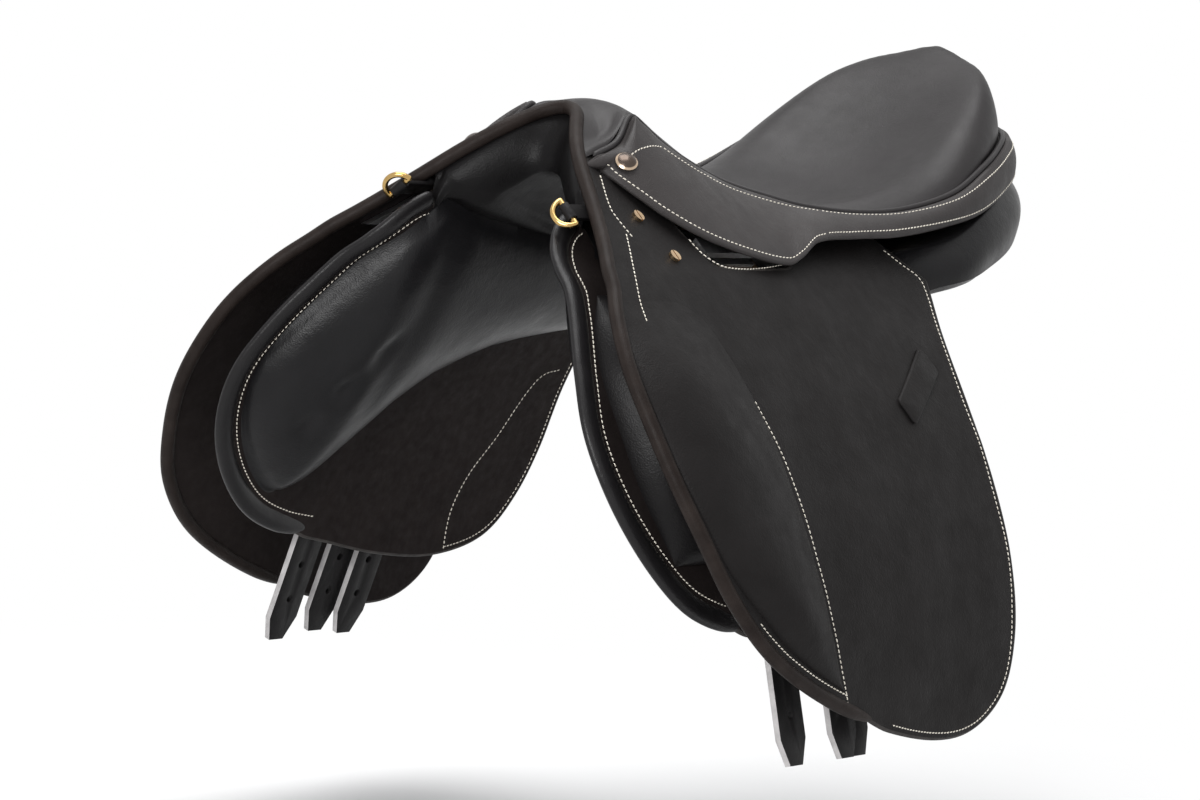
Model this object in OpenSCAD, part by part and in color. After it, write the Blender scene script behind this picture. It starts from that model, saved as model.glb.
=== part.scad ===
// Forward-cut English jumping saddle. Front is -Y, the near (left) side is +X, millimetres.
// The origin is the bearing point of a saddle rack, in the gullet on the symmetry plane.

/* [Seat] */
// Length of the seat leather from pommel front to cantle rear
seat_l = 415; // [400:1:430]
// Width of the seat at its widest, welt to welt
seat_w = 194; // [186:1:202]
// Height of the deepest part of the seat above the fold line of the flaps
dip_rise = 33; // [31:1:37]
// Rise of the pommel above the deepest part
pommel_rise = 62; // [58:1:66]
// Rise of the cantle above the deepest part
cantle_rise = 121; // [110:1:126]
// Depth of the rounded roll at the edge of the cantle
seat_roll = 46; // [40:1:50]
// Thickness of the seat leather
cover_t = 3; // [2.4:0.1:3.4]
// Thickness of the foam under the seat leather
foam_t = 8; // [6:0.5:9]
// Radius of the welt round the seat
seat_welt_r = 2.2; // [1.8:0.1:2.4]

/* [Skirts] */
// Width across the skirts at their lowest edge
skirt_w = 232; // [230:1:238]
// Thickness of the skirt leather
skirt_t = 3; // [2.4:0.1:3.2]
// Outward crown of the skirt between welt and edge
skirt_crown = 3.5; // [3:0.1:5]

/* [Flaps] */
// Half spread of the flaps at the fold line
hinge_x = 115; // [113:0.5:117]
// Height of the fold line
hinge_h = 95; // [93:0.5:96]
// Outward spread of a flap below its fold line
flap_spread = 124; // [120:1:130]
// Drop of a flap below its fold line
flap_drop = 269; // [260:1:280]
// Length of a flap, front to rear
flap_l = 340; // [335:1:346]
// Thickness of the flap leather
flap_t = 4; // [3.4:0.1:4.2]
// Radius of the welt on the front edge of a flap
flap_welt_r = 4.4; // [4:0.1:4.6]
// Swell of the padded knee roll on a flap
knee_pad_t = 13; // [9:0.5:16]

/* [Panels] */
// Length of a sweat flap, front to rear
sweat_l = 351; // [346:1:356]
// Drop of a sweat flap below the fold line
sweat_drop = 225; // [218:1:232]
// Thickness of the sweat flap leather
sweat_t = 4; // [3.4:0.1:4.4]
// Half thickness of the rolled front edge of a panel
piping_r = 4; // [3.4:0.1:4.4]
// Width of the rolled front edge of a panel
piping_w = 14; // [12:0.5:15]
// Swell of a flocked panel towards the back of the horse
panel_swell = 20; // [15:0.5:24]
// Thickness of the knee block on a sweat flap
knee_block_t = 27; // [20:1:30]

/* [Straps and rings] */
// Width of a girth strap
billet_w = 26; // [24:0.5:28]
// Thickness of a girth strap
billet_t = 4; // [3.4:0.1:4.2]
// Length of a girth strap below its pivot
billet_l = 228; // [215:1:240]
// Radius of a strap hole
billet_hole_r = 2.6; // [2:0.1:3]
// Holes in each strap
billet_holes = 6; // [4:1:7]
// Radius of the wire of a dee ring
dee_wire_r = 1.8; // [1.5:0.1:2]
// Radius of the bow of a dee ring
dee_bow_r = 9; // [8:0.5:10]
// Radius of a pommel nail head
nail_r = 7; // [6:0.1:7.5]
// Radius of a flap screw head
screw_r = 3.9; // [3.2:0.1:4.2]

/* [Stirrup bars] */
// Length of the tongue of a stirrup bar
bar_l = 76; // [70:1:80]
// Width of the tongue of a stirrup bar
bar_w = 12; // [11:0.5:13]
// Thickness of the tongue of a stirrup bar
bar_t = 4.4; // [4:0.1:4.6]
// Gap behind the tongue for the stirrup leather
bar_gap = 5.6; // [5:0.1:6]
// Radius of the pin of a safety catch
catch_pin_r = 1.5; // [1.2:0.1:1.8]

/* [Hidden] */
left = 1;
right = -1;
gap = 0.4;
split_gap = 0.6;
pin_clearance = 0.05;
probe = 1;
place_probe = 0.05;
seat_probe = 0.01;
overrun = 40;
dip_h = hinge_h + dip_rise;
tube_sides = 10;
leather = [0.13, 0.12, 0.125];
welt_brown = [0.22, 0.18, 0.17];
suede = [0.16, 0.14, 0.135];
steel = [0.55, 0.56, 0.58];
brass = [0.78, 0.62, 0.3];
bronze = [0.66, 0.55, 0.46];
wood = [0.72, 0.55, 0.35];
webbing = [0.8, 0.77, 0.7];
foam_white = [0.9, 0.88, 0.8];

// Shared functions

function unit(v) = v / norm(v);
function lerp(a, b, t) = a + (b - a) * t;
function clamp01(t) = max(0, min(1, t));
function total(list) = list * [for (x = list) 1];
function reversed(list) = [for (i = [len(list) - 1 : -1 : 0]) list[i]];
function steps(from, to, count) = [for (i = [0 : count]) lerp(from, to, i / count)];
function ease(t) = let (c = clamp01(t)) c * c * (3 - 2 * c);

// Smooth curve through the rows [place, value, value ...] of a table
function row_at(tab, t, i = 0) = i >= len(tab) - 2 || t < tab[i + 1][0] ? i : row_at(tab, t, i + 1);
function values(row) = [for (k = [1 : len(row) - 1]) row[k]];
function row_slope(tab, i) =
    let (a = max(i - 1, 0), b = min(i + 1, len(tab) - 1))
    (values(tab[b]) - values(tab[a])) / (tab[b][0] - tab[a][0]);
function smooth(tab, t) =
    let (i = row_at(tab, t), h = tab[i + 1][0] - tab[i][0], s = (t - tab[i][0]) / h)
    let (s2 = s * s, s3 = s2 * s)
    values(tab[i]) * (1 - 3 * s2 + 2 * s3) + values(tab[i + 1]) * (3 * s2 - 2 * s3)
    + row_slope(tab, i) * h * (s - 2 * s2 + s3) + row_slope(tab, i + 1) * h * (s3 - s2);

// Closed solid through rings of equal, even length, each ring folded flat for its end cap
module loft(rings) {
    n = len(rings[0]);
    m = len(rings);
    points = [for (r = rings) each r];
    sides = [for (i = [0 : m - 2], k = [0 : n - 1])
        let (a = i * n + k, b = i * n + (k + 1) % n)
        each k < n / 2 ? [[a, b, b + n], [a, b + n, a + n]] : [[a, b, a + n], [b, b + n, a + n]]];
    first_cap = [for (k = [0 : n / 2 - 2]) each [[k, n - 2 - k, k + 1], [k, n - 1 - k, n - 2 - k]]];
    last = (m - 1) * n;
    last_cap = [for (f = first_cap) [last + f[0], last + f[2], last + f[1]]];
    faces = concat(sides, first_cap, last_cap);
    turn = total([for (f = faces) points[f[0]] * cross(points[f[1]], points[f[2]])]);
    polyhedron(points, turn < 0 ? faces : [for (f = faces) reversed(f)], convexity = 8);
}

// Closed sheet between two grids of points
module sheet(outer, inner) {
    loft([for (i = [0 : len(outer) - 1]) concat(outer[i], reversed(inner[i]))]);
}

function tangent(path, i) = unit(path[min(i + 1, len(path) - 1)] - path[max(i - 1, 0)]);
function tube_ring(centre, along, ref, r, thick) =
    let (a = unit(cross(along, ref)), b = cross(along, a))
    [for (k = [0 : tube_sides - 1])
        let (turn = (k + 0.5) * 360 / tube_sides)
        centre + r * cos(turn) * a + thick * sin(turn) * b];

// Roll of leather along a path, half as wide as r and half as thick as thick
module tube(path, r, thick, ref) {
    loft([for (i = [0 : len(path) - 1]) tube_ring(path[i], tangent(path, i), ref, r, thick)]);
}

// The near side as drawn, or mirrored for the off side
module on_side(side) {
    if (side == left) children();
    else mirror([1, 0, 0]) children();
}

// Outline in X and Z carried along Y, and outline in Y and Z carried along X
module along_y(from, to) {
    translate([0, to, 0]) rotate([90, 0, 0]) linear_extrude(height = to - from) children();
}
module along_x(from, to) {
    translate([from, 0, 0]) rotate([90, 0, 90]) linear_extrude(height = to - from) children();
}

// Seat surface: place q runs from pommel to cantle and t from the middle to the welt

seat_front = -206;
ridge_share = 0.74;
rear_share = 0.94;
seat_rows = 26;
seat_columns = 6;
// Rows: place, half width, back, pommel rise, cantle rise
seat_edge_shares = [
    [0, 0.455, -0.082, 0.52, 0], [0.04, 0.43, -0.022, 0.66, 0], [0.08, 0.37, 0.02, 0.92, 0],
    [0.12, 0.41, 0.045, 0.84, 0], [0.16, 0.475, 0.08, 0.66, 0], [0.23, 0.515, 0.147, 0.47, 0],
    [0.30, 0.545, 0.22, 0.32, 0], [0.38, 0.62, 0.305, 0.21, 0], [0.45, 0.71, 0.38, 0.13, 0],
    [0.53, 0.82, 0.48, 0.1, 0], [0.61, 0.92, 0.58, 0, 0.08], [0.70, 0.985, 0.695, 0, 0.18],
    [0.78, 0.955, 0.787, 0, 0.325], [0.86, 0.85, 0.868, 0, 0.435], [0.92, 0.7, 0.93, 0, 0.51],
    [0.97, 0.42, 0.98, 0, 0.55], [1, 0.1, 1, 0, 0.57]];
// Rows: place, back, pommel rise, cantle rise
seat_mid_shares = [
    [0, 0.019, 0.95, 0], [0.04, 0.03, 1.01, 0], [0.08, 0.05, 1.04, 0], [0.12, 0.077, 1, 0],
    [0.16, 0.108, 0.89, 0], [0.23, 0.169, 0.65, 0], [0.30, 0.24, 0.41, 0], [0.38, 0.313, 0.21, 0],
    [0.45, 0.38, 0.09, 0], [0.53, 0.467, 0, 0], [0.61, 0.564, 0, 0.015], [0.70, 0.68, 0, 0.13],
    [0.78, 0.771, 0, 0.33], [0.86, 0.858, 0, 0.61], [0.92, 0.925, 0, 0.84], [0.97, 0.976, 0, 0.985],
    [1, 0.998, 0, 0.96]];
// Rows: place, share of the seat roll
seat_roll_shares = [
    [0, 0.17], [0.08, 0.08], [0.16, 0.16], [0.23, 0.13], [0.30, 0.07], [0.45, 0.05], [0.53, 0.06],
    [0.61, 0.11], [0.70, 0.22], [0.78, 0.43], [0.86, 0.74], [0.92, 0.95], [1, 0.95]];

function seat_edge(q) =
    let (e = smooth(seat_edge_shares, q))
    [seat_w / 2 * e[0], seat_front + seat_l * e[1], dip_h + pommel_rise * e[2] + cantle_rise * e[3]];
function seat_mid(q) =
    let (c = smooth(seat_mid_shares, q))
    [0, seat_front + seat_l * c[0], dip_h + pommel_rise * c[1] + cantle_rise * c[2]];
function seat_top(q, t) =
    let (e = seat_edge(q), c = seat_mid(q), a = abs(t))
    let (ridge = e[2] + seat_roll * smooth(seat_roll_shares, q)[0])
    let (fall = sqrt(max(0, 1 - pow((a - ridge_share) / (1 - ridge_share), 2))))
    let (z = a < ridge_share ? lerp(c[2], ridge, pow(a / ridge_share, 2)) : lerp(e[2], ridge, fall))
    [t * e[0], lerp(c[1], e[1], a * a), z];
// The seat surface moved in by a depth, towards the middle and down
function seat_under(q, t, depth) =
    let (p = seat_top(q, t), half = seat_edge(q)[0], rear = ease((q - rear_share) / (1 - rear_share)))
    [p[0] * (half - depth) / half, p[1] - depth * rear, p[2] - depth];
// Level outward direction at the welt
function edge_out(q) =
    let (d = seat_edge(min(q + seat_probe, 1)) - seat_edge(max(q - seat_probe, 0)))
    unit([d[1], -d[0], 0]);

module seat_layer(rows, columns, top, bottom) {
    qs = [for (i = [rows[0] : rows[1]]) i / seat_rows];
    ts = [for (k = [columns[0] : columns[1]]) k / seat_columns];
    sheet([for (q = qs) [for (t = ts) seat_under(q, t, top)]],
          [for (q = qs) [for (t = ts) seat_under(q, t, bottom)]]);
}

foam_top = cover_t + gap;
foam_bottom = foam_top + foam_t;
tree_top = foam_bottom + gap;
tree_t = 9;
web_t = 1.6;
// Layers lie on the grid of the seat leather: rows from pommel to cantle, columns from the middle
foam_rows = [3, 25];
rail_rows = [5, 22];
cantle_rows = [23, 25];
foam_columns = [-5, 5];
web_columns = [-2, 2];
rail_columns = [3, 5];

module seat_cover() {
    color(leather) seat_layer([0, seat_rows], [-seat_columns, seat_columns], 0, cover_t);
}

module seat_foam() {
    color(foam_white) seat_layer(foam_rows, foam_columns, foam_top, foam_bottom);
}

module seat_web() {
    color(webbing) seat_layer(rail_rows, web_columns, tree_top, tree_top + web_t);
}

module tree_rail(side) {
    color(wood) on_side(side) seat_layer(rail_rows, rail_columns, tree_top, tree_top + tree_t);
}

module tree_cantle() {
    color(wood) seat_layer(cantle_rows, foam_columns, tree_top, tree_top + tree_t);
}

// Welt centre line, outside the edge of the seat leather
function welt_point(q) = seat_edge(q) + edge_out(q) * (seat_welt_r + gap);
module seat_welt() {
    half = [for (q = steps(0, 1, 34)) welt_point(q)];
    path = concat(half, [for (p = reversed(half)) [-p[0], p[1], p[2]]]);
    color(leather) tube(path, seat_welt_r, seat_welt_r, [0, 0, 1]);
}

// Skirts: place q as on the seat and v from the welt to the lower edge

// Rows: place, half width, back, pommel rise, cantle rise
skirt_edge_shares = [
    [0, 0.431, -0.075, 0.387, 0], [0.04, 0.491, -0.072, 0.347, 0], [0.08, 0.569, -0.063, 0.266, 0],
    [0.12, 0.655, -0.043, 0.153, 0], [0.16, 0.741, -0.017, 0.024, 0], [0.23, 0.862, 0.039, -0.153, 0],
    [0.30, 0.948, 0.116, -0.29, 0], [0.38, 0.998, 0.207, -0.374, 0], [0.415, 0.995, 0.243, -0.29, 0],
    [0.45, 0.955, 0.294, -0.145, 0], [0.53, 0.935, 0.4, -0.106, 0], [0.61, 0.95, 0.51, 0, -0.04],
    [0.70, 0.96, 0.635, 0, 0.01], [0.78, 0.945, 0.735, 0, 0.07], [0.86, 0.885, 0.825, 0, 0.17],
    [0.92, 0.78, 0.905, 0, 0.275], [0.97, 0.5, 0.99, 0, 0.36], [1, 0.12, 1.035, 0, 0.4]];
// Fold of the lifting lobe: place and depth share of its front and rear ends
fold_front_shares = [0.085, 1];
fold_rear_shares = [0.47, 0.42];
fold_step = 0.004;
fold_room = 0.025;
skirt_columns = 5;

function skirt_edge(q) =
    let (e = smooth(skirt_edge_shares, q))
    [skirt_w / 2 * e[0], seat_front + seat_l * e[1], dip_h + pommel_rise * e[2] + cantle_rise * e[3]];
function skirt_start(q) = seat_edge(q) + edge_out(q) * (2 * seat_welt_r + 2 * gap);
function skirt_lean(q) =
    let (down = unit(skirt_edge(q) - skirt_start(q)))
    max(0, -down[2]);
function skirt_root(q) = skirt_start(q) + edge_out(q) * skirt_t * skirt_lean(q);
function skirt_chord(q, v) = lerp(skirt_root(q), skirt_edge(q), v);
function skirt_normal(q) =
    let (down = skirt_edge(q) - skirt_root(q))
    let (back = skirt_chord(min(q + 2 * seat_probe, 1), 0.5) - skirt_chord(max(q - 2 * seat_probe, 0), 0.5))
    unit(cross(down, back));
function skirt_at(q, v, depth) =
    skirt_chord(q, v) + skirt_normal(q) * (skirt_crown * 4 * v * (1 - v) - depth);

fold_a = skirt_at(fold_front_shares[0], fold_front_shares[1], 0);
fold_b = skirt_at(fold_rear_shares[0], fold_rear_shares[1], 0);
fold_up = skirt_normal((fold_front_shares[0] + fold_rear_shares[0]) / 2);
fold_plane = unit(cross(fold_b - fold_a, fold_up));
// Depth share at which a line of the skirt meets the plane of the fold
function fold_v(q) =
    (fold_plane * (fold_a - skirt_root(q))) / (fold_plane * (skirt_edge(q) - skirt_root(q)));
function skirt_len(q) = norm(skirt_edge(q) - skirt_root(q));
function band_end(q) =
    q <= fold_front_shares[0] || q > fold_rear_shares[0] ? 1
    : min(1, fold_v(q) - split_gap / 2 / skirt_len(q));

module skirt_band() {
    cut = fold_rear_shares[0];
    qs = concat(steps(0, fold_front_shares[0], 4), steps(fold_front_shares[0] + 5 * fold_step, cut, 14),
        steps(cut + fold_step, 1, 20));
    vs = steps(0, 1, skirt_columns);
    outer = [for (q = qs) [for (v = vs) skirt_at(q, v * band_end(q), 0)]];
    inner = [for (q = qs) [for (v = vs) skirt_at(q, v * band_end(q), skirt_t)]];
    function both(grid) = concat(grid, [for (r = reversed(grid)) [for (p = r) [-p[0], p[1], p[2]]]]);
    color(leather) sheet(both(outer), both(inner));
}

module skirt(side) {
    qs = steps(fold_front_shares[0] + fold_room, fold_rear_shares[0] - 1.5 * fold_step, 18);
    vs = steps(0, 1, skirt_columns);
    function from(q) = fold_v(q) + split_gap / 2 / skirt_len(q);
    outer = [for (q = qs) [for (v = vs) skirt_at(q, lerp(from(q), 1, v), 0)]];
    inner = [for (q = qs) [for (v = vs) skirt_at(q, lerp(from(q), 1, v), skirt_t)]];
    color(leather) on_side(side) sheet(outer, inner);
}

// Flap section: straight above the fold line, curved round the barrel below it

flap_front = -332;
flap_slope = 1.12;
flap_round = 2.1;
head_front = -301;
head_rise = 95;
head_back = 97;
profile_step = 11;
// Rows: place, back, down
flap_shares = [
    [0, 0.091, 0], [1, 0.047, 0.063], [2, 0.009, 0.16], [3, 0, 0.26], [4, 0.009, 0.383],
    [5, 0.044, 0.513], [6, 0.1, 0.651], [7, 0.206, 0.781], [8, 0.374, 0.888], [9, 0.565, 0.963],
    [10, 0.735, 1], [11, 0.853, 0.985], [12, 0.941, 0.911], [13, 0.982, 0.781], [14, 0.997, 0.613],
    [15, 1, 0.428], [16, 1.009, 0.26], [17, 1.035, 0.123], [18, 1.091, 0]];
flap_last = 18;
welt_last = 8.6;
// Front edge above the fold line. Rows: up, back
head_edge_shares = [[0, 0], [0.126, 0.146], [0.389, 0.354], [0.684, 0.5625], [0.895, 0.8], [1, 1]];

function flap_x(z) =
    z > hinge_h ? hinge_x - (z - hinge_h) * flap_slope
    : hinge_x + flap_spread * (1 - pow(max(0, 1 - (hinge_h - z) / flap_drop), flap_round));
function section_normal(dx, dz) = unit([dz, -dx]);
// Point of the flap section, moved out by a distance
function flap_at(z, out) =
    [flap_x(z), z] + out * section_normal(flap_x(z + probe) - flap_x(z - probe), 2 * probe);
function flap_band(z_low, z_high, out, inn) =
    let (zs = steps(z_low, z_high, max(1, round((z_high - z_low) / profile_step))))
    concat([for (z = zs) flap_at(z, out)], [for (z = reversed(zs)) flap_at(z, inn)]);
function flap_edge(s) =
    let (e = smooth(flap_shares, s))
    [flap_front + flap_l * e[0], hinge_h - flap_drop * e[1]];
function flap_inward(s) =
    let (d = flap_edge(min(s + place_probe, flap_last)) - flap_edge(max(s - place_probe, 0)))
    unit([-d[1], d[0]]);
function flap_inset(s, depth) = flap_edge(s) + depth * flap_inward(s);
function head_y(z) = head_front + head_back * smooth(head_edge_shares, (z - hinge_h) / head_rise)[0];

flap_out = 0;
flap_in = -flap_t;
welt_inset = 2 * flap_welt_r + 3 * gap;
welt_fade = 0.8;
welt_start_share = 0.08;

module flap(side) {
    places = steps(0, flap_last, 60);
    outline = [for (s = places) flap_inset(s, welt_inset * ease((welt_last + welt_fade - s) / welt_fade))];
    color(leather) on_side(side) intersection() {
        along_y(flap_front - overrun, flap_front + flap_l + overrun)
            polygon(flap_band(hinge_h - flap_drop - overrun, hinge_h - split_gap / 2, flap_out, flap_in));
        along_x(0, hinge_x + flap_spread + overrun) polygon(outline);
    }
}

function flap_welt_path() =
    [for (s = steps(0, welt_last, 30))
        let (e = flap_inset(s, flap_welt_r), p = flap_at(e[1], -flap_t / 2))
        [p[0], e[0], p[1]]];
module flap_welt(side) {
    path = flap_welt_path();
    start = lerp(path[0], path[1], welt_start_share);
    color(welt_brown) on_side(side) tube(concat([start], [for (i = [1 : len(path) - 1]) path[i]]),
        flap_welt_r, flap_welt_r, [1, 0, 0]);
}

// Padded roll on the front of the flap. Rows: down, back
pad_rear_shares = [[0.05, 0.3], [0.15, 0.31], [0.26, 0.325], [0.36, 0.345], [0.48, 0.36],
    [0.66, 0.375], [0.8, 0.41], [0.86, 0.43]];
// Rows: down, back
pad_front_shares = [[0.05, 0.12], [0.16, 0.05], [0.26, 0.042], [0.383, 0.05], [0.513, 0.085],
    [0.651, 0.15], [0.781, 0.265], [0.86, 0.38]];
function swell(u, power) = pow(max(0, 1 - pow(abs(2 * u - 1), power)), 0.6);

pad_span_shares = [0.055, 0.85];
pad_run_shares = [0.34, 0.22];
pad_lean_share = 0.8;
pad_rim = 0.8;

module knee_pad(side) {
    ds = steps(pad_span_shares[0], pad_span_shares[1], 16);
    us = steps(0, 1, 7);
    function pad_point(d, u, out) =
        let (y = flap_front + flap_l * lerp(smooth(pad_front_shares, d)[0], smooth(pad_rear_shares, d)[0], u))
        let (p = flap_at(hinge_h - flap_drop * d, out))
        [p[0], y, p[1]];
    function along(d) = (d - pad_span_shares[0]) / (pad_span_shares[1] - pad_span_shares[0]);
    function across(u) = pow(max(0, sin(180 * pow(u, pad_lean_share))), pad_lean_share);
    function ends(a) = ease(a / pad_run_shares[0]) * ease((1 - a) / pad_run_shares[1]);
    function rise(d, u) = pad_rim + knee_pad_t * across(u) * ends(along(d));
    color(leather) on_side(side) sheet(
        [for (d = ds) [for (u = us) pad_point(d, u, gap + rise(d, u))]],
        [for (d = ds) [for (u = us) pad_point(d, u, gap)]]);
}

// Sewn leather keeper on the flap. Middle place as shares of the flap, then its size and lean
keeper_place_shares = [0.855, 0.225];
keeper_l = 60;
keeper_w = 16;
keeper_t = 2;
keeper_lean = -30;
keeper_corner_r = 3;

module keeper(side) {
    middle = [flap_front + flap_l * keeper_place_shares[0], hinge_h - flap_drop * keeper_place_shares[1]];
    half = [keeper_l / 2 - keeper_corner_r, keeper_w / 2 - keeper_corner_r];
    color(leather) on_side(side) intersection() {
        along_y(flap_front, flap_front + flap_l + overrun)
            polygon(flap_band(hinge_h - flap_drop, hinge_h - overrun / 4, gap + keeper_t, gap));
        along_x(hinge_x, hinge_x + flap_spread + overrun) translate(middle) rotate(-keeper_lean) union() {
            square([2 * half[0], keeper_w], center = true);
            square([keeper_l, 2 * half[1]], center = true);
            for (i = [-1, 1], k = [-1, 1]) translate([i * half[0], k * half[1]])
                circle(r = keeper_corner_r, $fn = 24);
        }
    }
}

// Fixed top of the flap, under the skirt, cut out round the stirrup bar

// Upper edge behind the pommel, round the stirrup bar and to the rear. Rows: place, up the head
top_edge_shares = [[0, 0.56], [0.18, 0.42], [0.38, 0.32], [0.56, 0.24], [0.65, 0.12], [0.76, 0.075],
    [1.48, 0.07], [1.75, 0.085], [1.92, 0.17], [2.28, 0.26], [2.82, 0.285], [3.27, 0.28]];
// Place that lies at the start of the bar, place behind its catch, and the last place
top_places_shares = [0.71, 1.92, 3.27];
top_rear_share = 1;
top_front_share = 0.62;
top_clear = 4;
screw_shank_r = 2;
screw_head_h = 2.2;
screw_slot_w = 0.9;
screw_slot_d = 0.8;

module flap_top(side) {
    front = [for (u = steps(0, top_front_share, 8))
        let (z = hinge_h + split_gap / 2 + head_rise * u)
        [head_y(z) + flap_welt_r + gap + top_clear, z]];
    lead = top_places_shares[0];
    turn = top_places_shares[1];
    last = top_places_shares[2];
    rear_y = flap_front + flap_l * top_rear_share;
    function back(t) =
        t < turn ? bar_y + bar_l * (t - lead)
        : lerp(bar_y + bar_l * (turn - lead), rear_y, (t - turn) / (last - turn));
    upper = [for (t = steps(0, last, 34)) [back(t), hinge_h + head_rise * smooth(top_edge_shares, t)[0]]];
    rear = [[flap_front + flap_l * smooth(flap_shares, flap_last)[0], hinge_h + split_gap / 2]];
    color(leather) on_side(side) difference() {
        intersection() {
            along_y(flap_front - overrun, flap_front + flap_l + 2 * overrun)
                polygon(flap_band(hinge_h + split_gap / 2, hinge_h + head_rise, flap_out, flap_in));
            along_x(0, hinge_x + overrun) polygon(concat(front, upper, rear));
        }
        screw_holes();
    }
}

// Welt over the pommel, from fold line to fold line
pommel_welt_shares = [0.012, 0.97];
module pommel_welt() {
    side_path = [for (u = steps(pommel_welt_shares[0], pommel_welt_shares[1], 14))
        let (z = hinge_h + head_rise * u, p = flap_at(z, -flap_t / 2))
        [p[0], head_y(z), p[1]]];
    crown = [0, head_y(hinge_h + head_rise) + gap, hinge_h + head_rise];
    path = concat(side_path, [crown], [for (p = reversed(side_path)) [-p[0], p[1], p[2]]]);
    color(welt_brown) tube(path, flap_welt_r, flap_welt_r, [0, 1, 0]);
}

// Frame on the straight top of the flap: origin on its outer face, X down the slope, Y back, Z outwards
module slope_frame(y, z) {
    d = unit([flap_slope, -1]);
    multmatrix([[d[0], 0, -d[1], flap_x(z)], [0, 1, 0, y], [d[1], 0, d[0], z], [0, 0, 0, 1]]) children();
}

// Flap screws: place back along the head and up it
screw_places_shares = [[0.702, 0.337], [0.796, 0.116]];
screw_places = [for (s = screw_places_shares) [head_front + head_back * s[0], hinge_h + head_rise * s[1]]];

module screw_holes() {
    for (place = screw_places) slope_frame(place[0], place[1])
        translate([0, 0, -2 * overrun])
            cylinder(r = screw_shank_r + pin_clearance, h = 3 * overrun, $fn = 24);
}

module screw_solid() {
    difference() {
        union() {
            translate([0, 0, gap / 4]) cylinder(r = screw_r, h = screw_head_h, $fn = 32);
            translate([0, 0, -plate_in]) cylinder(r = screw_shank_r, h = plate_in + gap, $fn = 24);
        }
        translate([-screw_r - gap, -screw_slot_w / 2, gap / 4 + screw_head_h - screw_slot_d])
            cube([2 * screw_r + 2 * gap, screw_slot_w, screw_slot_d + gap]);
    }
}

module flap_screws() {
    color(bronze) for (side = [left, right], place = screw_places)
        on_side(side) slope_frame(place[0], place[1]) screw_solid();
}

// Pommel nail, domed, on the front of the skirt
nail_shares = [0.075, 0.72];
nail_h = 3;
nail_lift = 1.2;
module pommel_nails() {
    seat_point = skirt_at(nail_shares[0], nail_shares[1], 0);
    axis = skirt_normal(nail_shares[0]);
    tilt = acos(axis[2]);
    turn = atan2(axis[1], axis[0]);
    dome_r = (nail_r * nail_r + nail_h * nail_h) / (2 * nail_h);
    color(bronze) for (side = [left, right]) on_side(side)
        translate(seat_point + axis * nail_lift) rotate([0, tilt, turn]) intersection() {
            translate([0, 0, nail_h - dome_r]) sphere(r = dome_r, $fn = 64);
            cylinder(r = nail_r, h = 2 * nail_h, $fn = 48);
        }
}

// Tree head: steel head plate over a wooden arch, gullet plate under it

plate_t = 3.6;
plate_out = flap_t + gap;
plate_in = plate_out + plate_t;
plate_foot_up = 6;
plate_foot_h = hinge_h + plate_foot_up;
plate_from = 20;
plate_to = 76;
plate_to_top = 46;
arch_t = 15.8;
arch_out = plate_in + gap / 2;
arch_in = arch_out + arch_t;
arch_foot_up = 25;
arch_foot_h = hinge_h + arch_foot_up;
arch_from = 38;
arch_to = 68;
arch_bend_r = 30;
least_bend_r = 4;
gullet_t = 2.6;
gullet_out = arch_in + gap / 2;
gullet_in = gullet_out + gullet_t;
gullet_foot_up = 43;
gullet_foot_h = hinge_h + gullet_foot_up;
gullet_from = 40;
gullet_to = 64;
lean = atan(flap_slope);
apex_h = hinge_h + hinge_x / flap_slope;

// Arch in X and Z at a depth below the slopes of the flaps, with a round crown
function arch_line(depth, foot) =
    let (top = apex_h - depth / sin(lean), r = max(least_bend_r, arch_bend_r + arch_in - depth))
    let (centre = top - r / sin(lean), foot_x = (top - foot) * flap_slope)
    concat([[foot_x, foot]], [for (a = steps(lean, 90, 8)) [r * cos(a), centre + r * sin(a)]]);
function arch_band(out, inn, foot) =
    let (o = arch_line(out, foot), i = arch_line(inn, foot))
    concat(o, [for (p = reversed(o)) [-p[0], p[1]]], [for (p = i) [-p[0], p[1]]], reversed(i));
// Side view of a strip that follows the cut-back front of the head
function head_strip(from, to, to_top) =
    let (zs = steps(hinge_h - overrun, hinge_h + head_rise + overrun, 12))
    let (ups = [for (z = zs) clamp01((z - hinge_h) / head_rise)])
    let (front = [for (i = [0 : 12]) [head_y(hinge_h + head_rise * ups[i]), zs[i]]])
    concat([for (p = front) p + [from, 0]],
        [for (i = [12 : -1 : 0]) front[i] + [lerp(to, to_top, ups[i]), 0]]);

module arch(out, inn, foot, from, to, to_top) {
    intersection() {
        along_y(flap_front, 0) polygon(arch_band(out, inn, foot));
        along_x(-hinge_x, hinge_x) polygon(head_strip(from, to, to_top));
    }
}

rivet_r = 2.4;
rivet_back = 48;
rivet_places_shares = [0.6, 0.72];

module rivet_frame(u) {
    z = hinge_h + head_rise * u;
    slope_frame(head_y(z) + rivet_back, z) children();
}
module rivet_holes() {
    for (side = [left, right], u = rivet_places_shares) on_side(side) rivet_frame(u)
        translate([0, 0, -overrun]) cylinder(r = rivet_r + pin_clearance, h = overrun, $fn = 24);
}

module head_plate() {
    color(steel) difference() {
        arch(plate_out, plate_in, plate_foot_h, plate_from, plate_to, plate_to_top);
        rivet_holes();
        for (side = [left, right]) on_side(side) screw_holes();
    }
}

module gullet_plate() {
    color(steel) difference() {
        arch(gullet_out, gullet_in, gullet_foot_h, gullet_from, gullet_to, gullet_to);
        rivet_holes();
    }
}

module head_rivets() {
    color(steel) for (side = [left, right], u = rivet_places_shares) on_side(side) rivet_frame(u)
        translate([0, 0, -gullet_in - gap]) cylinder(r = rivet_r, h = gullet_in - plate_out + gap, $fn = 24);
}

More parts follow.
